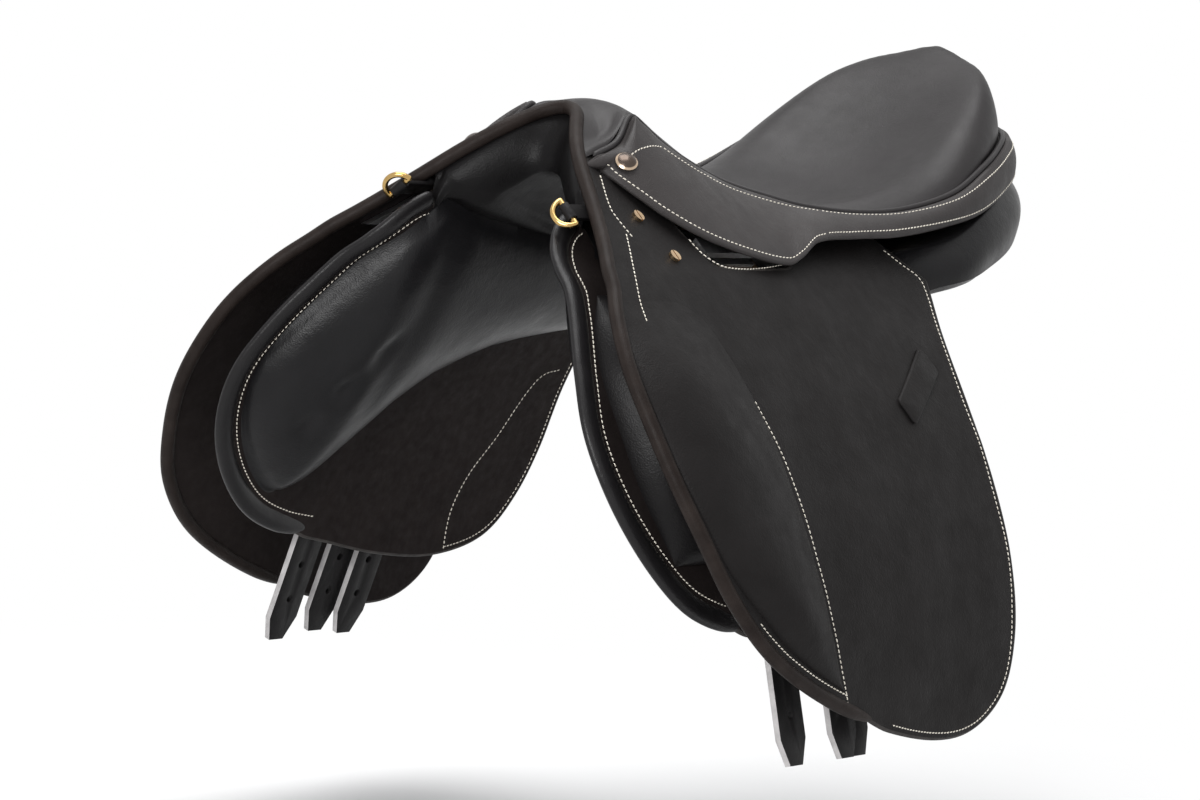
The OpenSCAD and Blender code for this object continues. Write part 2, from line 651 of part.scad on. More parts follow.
// Stirrup bar in the frame of the flap slope: base plate, lug, tongue with a half-lapped tip and a catch

bar_y = -186;
bar_up = 18;
bar_z = hinge_h + bar_up;
bar_out = 0.6;
bar_plate_out = bar_out + bar_t + bar_gap;
bar_plate_t = 3;
bar_plate_in = bar_plate_out + bar_plate_t;
bar_plate_up = 20;
bar_lug_l = 8;
side_out = bar_plate_in + gap / 2;
wing_t = 6;
side_in = side_out + wing_t;
wing_low_up = 13;
wing_high_up = 45;
wing_low_h = hinge_h + wing_low_up;
wing_high_h = hinge_h + wing_high_up;
tip_l = 15;
tip_in = bar_out + bar_t;
tip_half = bar_out + bar_t / 2;
pin_y = bar_l - tip_l / 2;
catch_l = 17;

// The wooden arch with a wing on each side that carries the stirrup bar
module tree_head() {
    function deep(z, d) = [flap_x(z), z] - d * section_normal(-flap_slope, 1);
    wing = [deep(wing_low_h, side_out), deep(wing_high_h, side_out), deep(wing_high_h, side_in),
        deep(wing_low_h, side_in)];
    color(wood) difference() {
        union() {
            arch(arch_out, arch_in, arch_foot_h, arch_from, arch_to, arch_to);
            for (side = [left, right]) on_side(side)
                along_y(head_y(wing_high_h) + arch_from, bar_y + pin_y) polygon(wing);
        }
        rivet_holes();
    }
}

module slab(x0, x1, y0, y1, deep, shallow) {
    translate([x0, y0, -deep]) cube([x1 - x0, y1 - y0, deep - shallow]);
}

module stirrup_bar(side) {
    half = bar_w / 2;
    color(steel) on_side(side) slope_frame(bar_y, bar_z) union() {
        slab(-bar_plate_up, half, 0, bar_l - tip_l, bar_plate_in, bar_plate_out);
        slab(-half, half, 0, bar_lug_l, bar_plate_in, bar_out);
        slab(-half, half, 0, bar_l - tip_l, tip_in, bar_out);
        slab(-half, half, 0, pin_y, tip_in, tip_half + gap / 2);
        translate([0, pin_y, -tip_in]) cylinder(r = half, h = bar_t / 2 - gap / 2, $fn = 48);
        translate([0, pin_y, -tip_in]) cylinder(r = catch_pin_r, h = bar_t, $fn = 24);
    }
}

// Safety catch, turning on the pin in the tip of the bar
module bar_catch(side) {
    half = bar_w / 2 - gap;
    tip_y = catch_l - half;
    color(steel) on_side(side) slope_frame(bar_y, bar_z) translate([0, pin_y, -tip_half + gap / 2])
        difference() {
            linear_extrude(height = bar_t / 2 - gap / 2) union() {
                circle(r = half, $fn = 48);
                translate([-half, 0]) square([2 * half, tip_y]);
                translate([0, tip_y]) circle(r = half, $fn = 48);
            }
            translate([0, 0, -bar_t]) cylinder(r = catch_pin_r + pin_clearance, h = 3 * bar_t, $fn = 24);
        }
}

// Sweat flap, under the flap: its section, outline, piping and knee block

sweat_front = -343;
sweat_stand = 33;
sweat_spread = 97;
sweat_round = 1.8;
sweat_slope = 0.55;
sweat_last = 21;
piping_places = [0.5, 8];
// Rows: place, back, down
sweat_shares = [
    [0, 0.162, -0.067], [1, 0.123, -0.009], [2, 0.085, 0.102], [3, 0.042, 0.236], [4, 0.014, 0.387],
    [5, 0.034, 0.547], [6, 0.094, 0.698], [7, 0.185, 0.827], [8, 0.285, 0.893], [9, 0.407, 0.929],
    [10, 0.578, 0.982], [11, 0.749, 1], [12, 0.892, 0.951], [13, 0.969, 0.831], [14, 1, 0.667],
    [15, 0.989, 0.458], [16, 0.977, 0.244], [17, 0.963, 0.049], [18, 0.806, 0.022], [19, 0.55, 0.018],
    [20, 0.279, 0.013], [21, 0.25, -0.013]];

function sweat_x(z) =
    let (top = hinge_x - sweat_stand)
    z > hinge_h ? top - (z - hinge_h) * sweat_slope
    : top + sweat_spread * (1 - pow(max(0, 1 - (hinge_h - z) / sweat_drop), sweat_round));
function sweat_at(z, out) =
    [sweat_x(z), z] + out * section_normal(sweat_x(z + probe) - sweat_x(z - probe), 2 * probe);
function sweat_edge(s) =
    let (e = smooth(sweat_shares, s))
    [sweat_front + sweat_l * e[0], hinge_h - sweat_drop * e[1]];
function sweat_inset(s, depth) =
    let (d = sweat_edge(min(s + place_probe, sweat_last)) - sweat_edge(max(s - place_probe, 0)))
    sweat_edge(s) + depth * unit([-d[1], d[0]]);

module sweat_flap(side) {
    inset = piping_w + 3 * gap;
    fade = welt_fade;
    outline = [for (s = steps(0, sweat_last, 63))
        sweat_inset(s, inset * ease((piping_places[1] + fade - s) / fade) * ease(s / piping_places[0]))];
    zs = steps(hinge_h - sweat_drop - overrun, hinge_h + overrun, 28);
    color(suede) on_side(side) intersection() {
        along_y(sweat_front - overrun, sweat_front + sweat_l + overrun)
            polygon(concat([for (z = zs) sweat_at(z, 0)], [for (z = reversed(zs)) sweat_at(z, -sweat_t)]));
        along_x(0, hinge_x + flap_spread) polygon(outline);
    }
}

module panel_piping(side) {
    path = [for (s = steps(piping_places[0], piping_places[1], 26))
        let (e = sweat_inset(s, piping_w / 2), p = sweat_at(e[1], -sweat_t / 2))
        [p[0], e[0], p[1]]];
    color(leather) on_side(side) tube(path, piping_w / 2, piping_r, [1, 0, 0]);
}

// Rows: down, front
block_shares = [[0.06, 0.135], [0.15, 0.085], [0.25, 0.06], [0.39, 0.06], [0.55, 0.08], [0.72, 0.135]];
block_span_shares = [0.06, 0.72];
block_w = 52;
block_rim = 1;
function block_point(d, u, out) =
    let (p = sweat_at(hinge_h - sweat_drop * d, out))
    [p[0], sweat_front + sweat_l * smooth(block_shares, d)[0] + piping_w + gap + block_w * u, p[1]];
function block_rise(d, u) =
    let (along = (d - block_span_shares[0]) / (block_span_shares[1] - block_span_shares[0]))
    block_rim + knee_block_t * swell(u, 2.4) * swell(along, 2);
module knee_block(side) {
    ds = steps(block_span_shares[0], block_span_shares[1], 14);
    us = steps(0, 1, 7);
    color(leather) on_side(side) sheet(
        [for (d = ds) [for (u = us) block_point(d, u, gap + block_rise(d, u))]],
        [for (d = ds) [for (u = us) block_point(d, u, gap)]]);
}

// Flocked panel: sections from the gullet seam over the sweat flap to the lower edge and back

panel_front = -337;
panel_l = 537;
panel_knee_down = 5;
panel_knee_h = hinge_h - panel_knee_down;
panel_columns = 9;
panel_bend_share = 0.3;
panel_rim = 1;
// Rows: place, back, seam out, seam up, low down
panel_shares = [
    [0, 0.01, 1.043, -0.705, 0.476], [1, 0.032, 0.922, -0.453, 0.627], [2, 0.062, 0.765, -0.158, 0.724],
    [3, 0.092, 0.623, 0.116, 0.773], [4, 0.1155, 0.56, 0.253, 0.796], [5, 0.1397, 0.522, 0.316, 0.791],
    [6, 0.162, 0.47, 0.326, 0.76], [7, 0.1862, 0.409, 0.263, 0.716], [8, 0.2179, 0.4, 0.211, 0.662],
    [9, 0.2514, 0.396, 0.179, 0.6], [10, 0.3017, 0.387, 0.126, 0.52], [11, 0.3669, 0.365, 0.084, 0.436],
    [12, 0.46, 0.348, 0.053, 0.36], [13, 0.5661, 0.335, 0.042, 0.289], [14, 0.609, 0.33, 0.053, 0.236],
    [15, 0.65, 0.33, 0.074, 0.173]];
panel_front_last = 15;
// Stations over which the panel comes out from behind the piping
panel_piped = [3, 8];
// Rear, by place on the seat. Rows: place, knee out, low out, low down
panel_rear_shares = [
    [0.61, -0.1, 0.8, 0.92], [0.65, 0.25, 0.6, 0.74], [0.70, 0.55, 0.67, 0.76], [0.78, 0.65, 0.47, 0.97],
    [0.86, 0.65, 0.57, 1], [0.92, 0.7, 0.55, 0.87], [0.975, 0.9, 0.65, 0.62]];
panel_rear_places = [0.61, 0.975];
panel_flare = 20;
panel_deep = 38;
panel_seam_out = 38;
panel_under_mid = 30;
panel_under_edge = 10;
panel_knee_drop = 26.5;

function sweat_inside(z, depth) =
    sweat_x(z) - depth / section_normal(sweat_x(z + probe) - sweat_x(z - probe), 2 * probe)[0];
function front_outer(p, s) =
    let (r = smooth(panel_shares, p), z = hinge_h + head_rise * r[2], low_z = hinge_h - sweat_drop * r[3])
    let (depth = sweat_t + gap + (piping_r - sweat_t / 2 + gap) * ease((panel_piped[1] - p) / panel_piped[0]))
    let (seam = [min(hinge_x * r[1], sweat_inside(z, depth + gap)), z])
    let (knee_z = min(panel_knee_h, lerp(z, low_z, 0.12)))
    s < panel_bend_share ? lerp(seam, [sweat_inside(knee_z, depth), knee_z], s / panel_bend_share)
    : let (down = lerp(knee_z, low_z, (s - panel_bend_share) / (1 - panel_bend_share)))
      [sweat_inside(down, depth), down];
function rear_outer(q, s) =
    let (r = smooth(panel_rear_shares, q), e = seat_edge(q), m = seat_mid(q))
    let (seam = [panel_seam_out, min(m[2] - panel_under_mid, e[2] - panel_under_edge)])
    let (knee = [e[0] + panel_flare * r[0], e[2] - panel_knee_drop])
    let (low = knee + [panel_flare * r[1], -panel_deep * r[2]])
    s < panel_bend_share ? lerp(seam, knee, s / panel_bend_share)
    : lerp(knee, low, (s - panel_bend_share) / (1 - panel_bend_share));
// Ring at a station: the outer line, then the swollen inner line back to the seam
function panel_ring(outer, y, swelling) =
    let (n = len(outer), seam = outer[0], low = outer[n - 1], chord = low - seam)
    let (inward = unit([chord[1], -chord[0]]))
    concat([for (o = outer) [o[0], y, o[1]]],
        [for (k = [n - 1 : -1 : 0])
            let (s = k / (n - 1), i = lerp(seam, low, 0.02 + 0.96 * s))
            let (j = i + inward * (panel_rim + swelling * swell(s, 2.6)))
            [j[0], y, j[1]]]);

module panel(side) {
    ss = steps(0, 1, panel_columns);
    front = [for (p = steps(0, panel_front_last, 24))
        panel_ring([for (s = ss) front_outer(p, s)], panel_front + panel_l * smooth(panel_shares, p)[0],
            panel_swell * lerp(0.4, 1, ease(p / 4)))];
    rear = [for (q = steps(panel_rear_places[0], panel_rear_places[1], 12))
        panel_ring([for (s = ss) rear_outer(q, s)], seat_mid(q)[1], panel_swell * 0.7)];
    color(leather) on_side(side) loft(concat(front, rear));
}

// Lining of the head, from panel to panel under the tree. Rows: back from the front edge, depth
lining_outer = [[3.5, 10.6], [14, 10.6], [26, 11], [31, 15], [35, 24.5], [40, 28], [68, 28], [86, 29],
    [105, 31]];
lining_inner = [[4, 12.8], [8, 14.8], [14, 18], [20, 22.5], [27, 28.5], [38, 33.5], [68, 34.5], [86, 35],
    [105, 36]];
lining_low_up = 33;
lining_low_h = hinge_h + lining_low_up;
lining_fall_share = 0.2;
// Place a runs from foot (-1) over the crown (0) to foot (1) on the arch at a depth
function arch_point(depth, foot, a) =
    let (line = arch_line(depth, foot), f = 2 * abs(a), i = 9 - 8 * min(1, f), k = min(8, floor(i)))
    let (p = f > 1 ? lerp(line[1], line[0], f - 1) : lerp(line[k], line[k + 1], i - k))
    [sign(a) * p[0], p[1]];
function lining_point(row, a) =
    let (p = arch_point(row[1], lining_low_h - lining_fall_share * max(0, row[0] - arch_from), a))
    [p[0], head_y(p[1]) + row[0], p[1]];
module head_lining() {
    places = steps(-1, 1, 20);
    color(leather) sheet([for (a = places) [for (r = lining_outer) lining_point(r, a)]],
                         [for (a = places) [for (r = lining_inner) lining_point(r, a)]]);
}

// Lining of the channel between the panels, from the head lining to the cantle
channel_t = 2;
channel_lap = 2;
channel_lift = 0.8;
channel_columns = 10;
channel_front = 10.5;
channel_rear_rise = 8;
// Rows: panel place, rise of the crown
channel_rises = [[10.5, 49], [11, 43], [12, 27], [13, 12], [14, 9], [15, 8]];
function channel_row(seam, y, rise, up) =
    [for (k = steps(-1, 1, channel_columns))
        [(seam[0] + channel_lap) * k, y, seam[1] + channel_lift + rise * (1 - k * k) + up]];
function channel_grid(up) =
    concat([for (p = steps(channel_front, panel_front_last, 12))
        channel_row(front_outer(p, 0), panel_front + panel_l * smooth(panel_shares, p)[0],
            smooth(channel_rises, p)[0], up)],
        [for (q = steps(panel_rear_places[0], panel_rear_places[1], 10))
            channel_row(rear_outer(q, 0), seat_mid(q)[1], channel_rear_rise, up)]);
module channel_lining() {
    color(leather) sheet(channel_grid(channel_t), channel_grid(0));
}

// Girth straps: places along the saddle and layers off the sweat flap, front to rear

billet_places_shares = [0.422, 0.55, 0.613];
billet_layers = [0, 1, 0];
billet_layer_gap = 2.4;
billet_layer_t = billet_t + billet_layer_gap;
billet_clear = 2;
billet_touch_down = 155;
billet_pivot_down = 63;
billet_touch_h = hinge_h - billet_touch_down;
billet_pivot_h = hinge_h - billet_pivot_down;
billet_head_l = 15;
billet_tip_l = 16;
billet_hole_pitch = 25;
billet_hole_end = 30;

billet_lean = atan((sweat_x(billet_touch_h - probe) - sweat_x(billet_touch_h + probe)) / (2 * probe));
billet_down = [sin(billet_lean), -cos(billet_lean)];
billet_out = [cos(billet_lean), sin(billet_lean)];
function billet_y(i) = sweat_front + sweat_l * billet_places_shares[i];
function billet_pivot(i) =
    let (touch = sweat_at(billet_touch_h, billet_clear + billet_layers[i] * billet_layer_t))
    touch + (billet_pivot_h - billet_touch_h) * [-tan(billet_lean), 1];

// Frame on the inner face of a strap: X down the strap, Y back, Z outwards
module billet_frame(i) {
    p = billet_pivot(i);
    multmatrix([[billet_down[0], 0, billet_out[0], p[0]], [0, 1, 0, billet_y(i)],
        [billet_down[1], 0, billet_out[1], p[1]], [0, 0, 0, 1]]) children();
}

module billet(side, i) {
    w = billet_w / 2;
    outline = [[-billet_head_l, -w], [billet_l - billet_tip_l, -w], [billet_l, -w / 2], [billet_l, w / 2],
        [billet_l - billet_tip_l, w], [-billet_head_l, w]];
    color(leather) on_side(side) billet_frame(i) difference() {
        linear_extrude(height = billet_t) polygon(outline);
        for (k = [0 : billet_holes - 1])
            translate([billet_l - billet_hole_end - k * billet_hole_pitch, 0, -billet_t])
                cylinder(r = billet_hole_r, h = 3 * billet_t, $fn = 32);
    }
}

// Webs that carry the straps, from the inner face of the tree wing over the sweat flap
web_strap_w = 14;
web_strap_t = 1.6;
web_top_up = 41;
web_bend_up = 29;
web_sill_in = 28.5;
web_sill_down = 2;
web_top_h = hinge_h + web_top_up;
web_bend_h = hinge_h + web_bend_up;
web_sill = [hinge_x - web_sill_in, hinge_h - web_sill_down];

module girth_web(side) {
    function deep(z, d) = [flap_x(z), z] - d * section_normal(-flap_slope, 1);
    function inner_deep() = side_in + gap;
    color(webbing) on_side(side) for (i = [0 : 2]) {
        tail = billet_pivot(i) - gap * billet_out;
        outer = [deep(web_top_h, inner_deep()), deep(web_bend_h, inner_deep()), web_sill,
            tail - billet_head_l * billet_down, tail + billet_head_l * billet_down];
        inner = [for (k = [0 : 4])
            outer[k] - web_strap_t * (k < 3 ? section_normal(-flap_slope, 1) : billet_out)];
        along_y(billet_y(i) - web_strap_w / 2, billet_y(i) + web_strap_w / 2)
            polygon(concat(outer, reversed(inner)));
    }
}

// Dee ring in its sewn tab, in the frame of the flap slope

dee_y = -283;
dee_up = 39;
dee_z = hinge_h + dee_up;
dee_depth = 8.6;
dee_turns = [40, -45];
tab_w = 11;
tab_t = 2.6;
tab_l = 29.5;
tab_end_l = 4;
tab_wall = 1.4;

module dee_tab(side) {
    bore_r = dee_wire_r + pin_clearance;
    color(leather) on_side(side) slope_frame(dee_y, dee_z) difference() {
        union() {
            slab(-tab_w / 2, tab_w / 2, 0, tab_l, dee_depth + tab_t / 2, dee_depth - tab_t / 2);
            slab(-tab_w / 2, tab_w / 2, tab_l - tab_end_l, tab_l, dee_depth + tab_t / 2, flap_t + gap);
            translate([-tab_w / 2, 0, -dee_depth]) rotate([0, 90, 0])
                cylinder(r = bore_r + tab_wall, h = tab_w, $fn = 32);
        }
        translate([-tab_w, 0, -dee_depth]) rotate([0, 90, 0]) cylinder(r = bore_r, h = 2 * tab_w, $fn = 32);
    }
}

module dee_ring(side) {
    turn = side == left ? dee_turns[0] : dee_turns[1];
    color(brass) on_side(side) slope_frame(dee_y, dee_z) translate([0, 0, -dee_depth]) rotate([turn, 0, 0])
        union() {
            translate([-dee_bow_r, 0, 0]) rotate([0, 90, 0])
                cylinder(r = dee_wire_r, h = 2 * dee_bow_r, $fn = 32);
            rotate([0, 0, 180]) rotate_extrude(angle = 180, $fn = 64) translate([dee_bow_r, 0])
                circle(r = dee_wire_r, $fn = 32);
            for (end = [-1, 1]) translate([end * dee_bow_r, 0, 0]) sphere(r = dee_wire_r, $fn = 32);
        }
}

// Everything as listed

tree_head();
tree_rail(left);  // tree_rail_left
tree_rail(right);  // tree_rail_right
tree_cantle();
head_plate();
gullet_plate();
head_rivets();
seat_web();
seat_foam();
seat_cover();
seat_welt();
skirt_band();
pommel_welt();
pommel_nails();
flap_screws();
flap_top(left);  // flap_top_left
flap_top(right);  // flap_top_right
flap(left);  // flap_left
flap(right);  // flap_right
flap_welt(left);  // flap_welt_left
flap_welt(right);  // flap_welt_right
knee_pad(left);  // knee_pad_left
knee_pad(right);  // knee_pad_right
keeper(left);  // keeper_left
keeper(right);  // keeper_right
skirt(left);  // skirt_left
skirt(right);  // skirt_right
head_lining();
channel_lining();
stirrup_bar(left);  // stirrup_bar_left
stirrup_bar(right);  // stirrup_bar_right
panel(left);  // panel_left
panel(right);  // panel_right
sweat_flap(left);  // sweat_flap_left
sweat_flap(right);  // sweat_flap_right
panel_piping(left);  // panel_piping_left
panel_piping(right);  // panel_piping_right
knee_block(left);  // knee_block_left
knee_block(right);  // knee_block_right
girth_web(left);  // girth_web_left
girth_web(right);  // girth_web_right
dee_tab(left);  // dee_tab_left
dee_tab(right);  // dee_tab_right
dee_ring(left);  // dee_ring_left
dee_ring(right);  // dee_ring_right
bar_catch(left);  // bar_catch_left
bar_catch(right);  // bar_catch_right
billet(left, 0);  // billet_left_front
billet(left, 1);  // billet_left_middle
billet(left, 2);  // billet_left_rear
billet(right, 0);  // billet_right_front
billet(right, 1);  // billet_right_middle
billet(right, 2);  // billet_right_rear
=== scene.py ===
import bpy
import bmesh
import math
import numpy as np
from mathutils import Matrix, Vector
from mathutils.geometry import delaunay_2d_cdt


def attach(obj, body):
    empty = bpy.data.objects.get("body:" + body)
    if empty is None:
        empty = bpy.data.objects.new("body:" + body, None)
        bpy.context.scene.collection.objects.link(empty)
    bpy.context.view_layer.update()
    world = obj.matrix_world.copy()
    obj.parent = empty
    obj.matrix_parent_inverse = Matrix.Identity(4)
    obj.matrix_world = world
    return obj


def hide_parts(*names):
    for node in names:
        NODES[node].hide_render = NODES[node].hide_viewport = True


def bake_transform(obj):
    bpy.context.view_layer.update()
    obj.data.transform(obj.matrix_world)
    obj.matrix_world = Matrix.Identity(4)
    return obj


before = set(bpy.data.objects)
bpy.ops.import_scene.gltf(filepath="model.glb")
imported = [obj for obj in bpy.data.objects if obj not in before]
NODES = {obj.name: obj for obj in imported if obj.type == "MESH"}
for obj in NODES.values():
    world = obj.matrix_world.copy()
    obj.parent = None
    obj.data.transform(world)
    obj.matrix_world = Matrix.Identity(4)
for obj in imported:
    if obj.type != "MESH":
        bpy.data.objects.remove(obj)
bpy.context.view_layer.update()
scene = bpy.context.scene
scene.view_settings.view_transform = "Standard"
SIDES = (("left", 1.0), ("right", -1.0))
MM = 0.001

# ---- camera

camera_data = bpy.data.cameras.new("camera")
camera_data.sensor_width = 36.0
camera_data.lens = 120.0
camera_data.clip_start = 0.1
camera_data.clip_end = 60.0
camera = bpy.data.objects.new("camera", camera_data)
scene.collection.objects.link(camera)
look_right = Vector((0.7877, 0.6072, 0.1040)).normalized()
look_back = Vector((0.5985, -0.7943, 0.1045)).normalized()
look_up = look_back.cross(look_right).normalized()
look_right = look_up.cross(look_back).normalized()
turn = Matrix((look_right, look_up, look_back)).transposed().to_4x4()
camera.matrix_world = Matrix.Translation(Vector((1.5099, -2.1494, 0.2667))) @ turn
scene.camera = camera

# ---- numbers (millimetres)


def lerp(a, b, t):
    return a + (b - a) * t


def unit(v):
    v = np.asarray(v, float)
    return v / np.linalg.norm(v)


def ease(t):
    c = min(1.0, max(0.0, t))
    return c * c * (3 - 2 * c)


def steps(a, b, n):
    return [lerp(a, b, i / n) for i in range(n + 1)]


def cosine_steps(n):
    """Steps from 0 to 1, close together at both ends."""
    return [0.5 - 0.5 * math.cos(math.pi * i / n) for i in range(n + 1)]


def table(rows):
    """Rows of place and values, with the slope of the values at each row."""
    a = np.array(rows, float)
    slope = np.zeros((len(a), a.shape[1] - 1))
    for i in range(len(a)):
        p, n = max(i - 1, 0), min(i + 1, len(a) - 1)
        slope[i] = (a[n, 1:] - a[p, 1:]) / (a[n, 0] - a[p, 0])
    return a, slope


def hermite(a, b, leave, arrive, t):
    t2, t3 = t * t, t * t * t
    return a * (1 - 3 * t2 + 2 * t3) + b * (3 * t2 - 2 * t3) + leave * (t - 2 * t2 + t3) + arrive * (t3 - t2)


def smooth(tab, t):
    """Row of a table at a place, on a smooth curve through its rows."""
    a, slope = tab
    i = int(min(max(np.searchsorted(a[:, 0], t, "right") - 1, 0), len(a) - 2))
    h = a[i + 1, 0] - a[i, 0]
    return hermite(a[i, 1:], a[i + 1, 1:], slope[i] * h, slope[i + 1] * h, (t - a[i, 0]) / h)


seat_l, seat_w, dip_h, pommel_rise, cantle_rise, seat_roll = 415.0, 194.0, 128.0, 62.0, 121.0, 46.0
cover_t, foam_t, seat_welt_r, gap = 3.0, 8.0, 2.2, 0.4
skirt_w, skirt_t, skirt_crown = 232.0, 3.0, 3.5
hinge_x, hinge_h, flap_spread, flap_drop, flap_l, flap_t = 115.0, 95.0, 124.0, 269.0, 340.0, 4.0
flap_welt_r, knee_pad_t = 4.4, 13.0
sweat_l, sweat_drop, sweat_t, piping_r, piping_w = 351.0, 225.0, 4.0, 4.0, 14.0
panel_swell, knee_block_t, bar_y, bar_l = 20.0, 27.0, -186.0, 76.0
seat_front, ridge_share, rear_share = -206.0, 0.74, 0.94
flap_front, flap_slope, flap_round = -332.0, 1.12, 2.1
head_front, head_rise, head_back = -301.0, 95.0, 97.0
sweat_front, sweat_stand, sweat_spread, sweat_round, sweat_slope = -343.0, 33.0, 97.0, 1.8, 0.55
panel_front, panel_l = -337.0, 537.0

# Seat and skirts: rows of place, half width, back, pommel rise, cantle rise
SEAT_EDGE = table([
    [0, 0.455, -0.082, 0.52, 0], [0.04, 0.43, -0.022, 0.66, 0], [0.08, 0.37, 0.02, 0.92, 0],
    [0.12, 0.41, 0.045, 0.84, 0], [0.16, 0.475, 0.08, 0.66, 0], [0.23, 0.515, 0.147, 0.47, 0],
    [0.30, 0.545, 0.22, 0.32, 0], [0.38, 0.62, 0.305, 0.21, 0], [0.45, 0.71, 0.38, 0.13, 0],
    [0.53, 0.82, 0.48, 0.1, 0], [0.61, 0.92, 0.58, 0, 0.08], [0.70, 0.985, 0.695, 0, 0.18],
    [0.78, 0.955, 0.787, 0, 0.325], [0.86, 0.85, 0.868, 0, 0.435], [0.92, 0.7, 0.93, 0, 0.51],
    [0.97, 0.42, 0.98, 0, 0.55], [1, 0.1, 1, 0, 0.57]])
SEAT_MID = table([
    [0, 0.019, 0.95, 0], [0.04, 0.03, 1.01, 0], [0.08, 0.05, 1.04, 0], [0.12, 0.077, 1, 0],
    [0.16, 0.108, 0.89, 0], [0.23, 0.169, 0.65, 0], [0.30, 0.24, 0.41, 0], [0.38, 0.313, 0.21, 0],
    [0.45, 0.38, 0.09, 0], [0.53, 0.467, 0, 0], [0.61, 0.564, 0, 0.015], [0.70, 0.68, 0, 0.13],
    [0.78, 0.771, 0, 0.33], [0.86, 0.858, 0, 0.61], [0.92, 0.925, 0, 0.84], [0.97, 0.976, 0, 0.985],
    [1, 0.998, 0, 0.96]])
SEAT_ROLL = table([
    [0, 0.17], [0.08, 0.08], [0.16, 0.16], [0.23, 0.13], [0.30, 0.07], [0.45, 0.05], [0.53, 0.06],
    [0.61, 0.11], [0.70, 0.22], [0.78, 0.43], [0.86, 0.74], [0.92, 0.95], [1, 0.95]])
SKIRT_EDGE = table([
    [0, 0.431, -0.075, 0.387, 0], [0.04, 0.491, -0.072, 0.347, 0], [0.08, 0.569, -0.063, 0.266, 0],
    [0.12, 0.655, -0.043, 0.153, 0], [0.16, 0.741, -0.017, 0.024, 0], [0.23, 0.862, 0.039, -0.153, 0],
    [0.30, 0.948, 0.116, -0.29, 0], [0.38, 0.998, 0.207, -0.374, 0], [0.415, 0.995, 0.243, -0.29, 0],
    [0.45, 0.955, 0.294, -0.145, 0], [0.53, 0.935, 0.4, -0.106, 0], [0.61, 0.95, 0.51, 0, -0.04],
    [0.70, 0.96, 0.635, 0, 0.01], [0.78, 0.945, 0.735, 0, 0.07], [0.86, 0.885, 0.825, 0, 0.17],
    [0.92, 0.78, 0.905, 0, 0.275], [0.97, 0.5, 0.99, 0, 0.36], [1, 0.12, 1.035, 0, 0.4]])
# Outlines: rows of place, back, down
FLAP_CUT = table([
    [0, 0.091, 0], [1, 0.047, 0.063], [2, 0.009, 0.16], [3, 0, 0.26], [4, 0.009, 0.383],
    [5, 0.044, 0.513], [6, 0.1, 0.651], [7, 0.206, 0.781], [8, 0.374, 0.888], [9, 0.565, 0.963],
    [10, 0.735, 1], [11, 0.853, 0.985], [12, 0.941, 0.911], [13, 0.982, 0.781], [14, 0.997, 0.613],
    [15, 1, 0.428], [16, 1.009, 0.26], [17, 1.035, 0.123], [18, 1.091, 0]])
SWEAT_CUT = table([
    [0, 0.162, -0.067], [1, 0.123, -0.009], [2, 0.085, 0.102], [3, 0.042, 0.236], [4, 0.014, 0.387],
    [5, 0.034, 0.547], [6, 0.094, 0.698], [7, 0.185, 0.827], [8, 0.285, 0.893], [9, 0.407, 0.929],
    [10, 0.578, 0.982], [11, 0.749, 1], [12, 0.892, 0.951], [13, 0.969, 0.831], [14, 1, 0.667],
    [15, 0.989, 0.458], [16, 0.977, 0.244], [17, 0.963, 0.049], [18, 0.806, 0.022], [19, 0.55, 0.018],
    [20, 0.279, 0.013], [21, 0.25, -0.013]])
# Front edge of the head: rows of up, back
HEAD_EDGE = table([[0, 0], [0.126, 0.146], [0.389, 0.354], [0.684, 0.5625], [0.895, 0.8], [1, 1]])
# Upper edge of the flap: rows of place, up
TOP_EDGE = table([[0, 0.60], [0.18, 0.55], [0.36, 0.50], [0.5, 0.42], [0.58, 0.26], [0.65, 0.12],
                  [0.76, 0.075], [1.48, 0.07], [1.75, 0.085], [1.92, 0.17], [2.28, 0.26], [2.82, 0.285],
                  [3.27, 0.28]])
# Rear of the knee roll: rows of height, back
KNEE_LINE = table([[-160, -178], [-146, -186.5], [-113, -198], [-72, -206], [-32, -212], [-2, -215],
                   [30, -219], [60, -224], [95, -230]])
# Front of the knee block: rows of down, back
BLOCK = table([[0.06, 0.135], [0.15, 0.085], [0.25, 0.06], [0.39, 0.06], [0.55, 0.08], [0.72, 0.135]])
# Panels: rows of place, back, seam across, seam up, lower edge
PANEL = table([
    [0, 0.01, 1.043, -0.705, 0.476], [1, 0.032, 0.922, -0.453, 0.627], [2, 0.062, 0.765, -0.158, 0.724],
    [3, 0.092, 0.623, 0.116, 0.773], [4, 0.1155, 0.56, 0.253, 0.796], [5, 0.1397, 0.522, 0.316, 0.791],
    [6, 0.162, 0.47, 0.326, 0.76], [7, 0.1862, 0.409, 0.263, 0.716], [8, 0.2179, 0.4, 0.211, 0.662],
    [9, 0.2514, 0.396, 0.179, 0.6], [10, 0.3017, 0.387, 0.126, 0.52], [11, 0.3669, 0.365, 0.084, 0.436],
    [12, 0.46, 0.348, 0.053, 0.36], [13, 0.5661, 0.335, 0.042, 0.289], [14, 0.609, 0.33, 0.053, 0.236],
    [15, 0.65, 0.33, 0.074, 0.173]])
# Rear gusset: rows of place, knee across, lower edge across, down
PANEL_REAR = table([
    [0.61, -0.1, 0.8, 0.92], [0.65, 0.25, 0.6, 0.74], [0.70, 0.55, 0.67, 0.76], [0.78, 0.65, 0.47, 0.97],
    [0.86, 0.65, 0.57, 1], [0.92, 0.7, 0.55, 0.87], [0.975, 0.9, 0.65, 0.62]])


def rises(e):
    """Height from the shares of the pommel's and the cantle's rise."""
    return dip_h + pommel_rise * e[0] + cantle_rise * e[1]


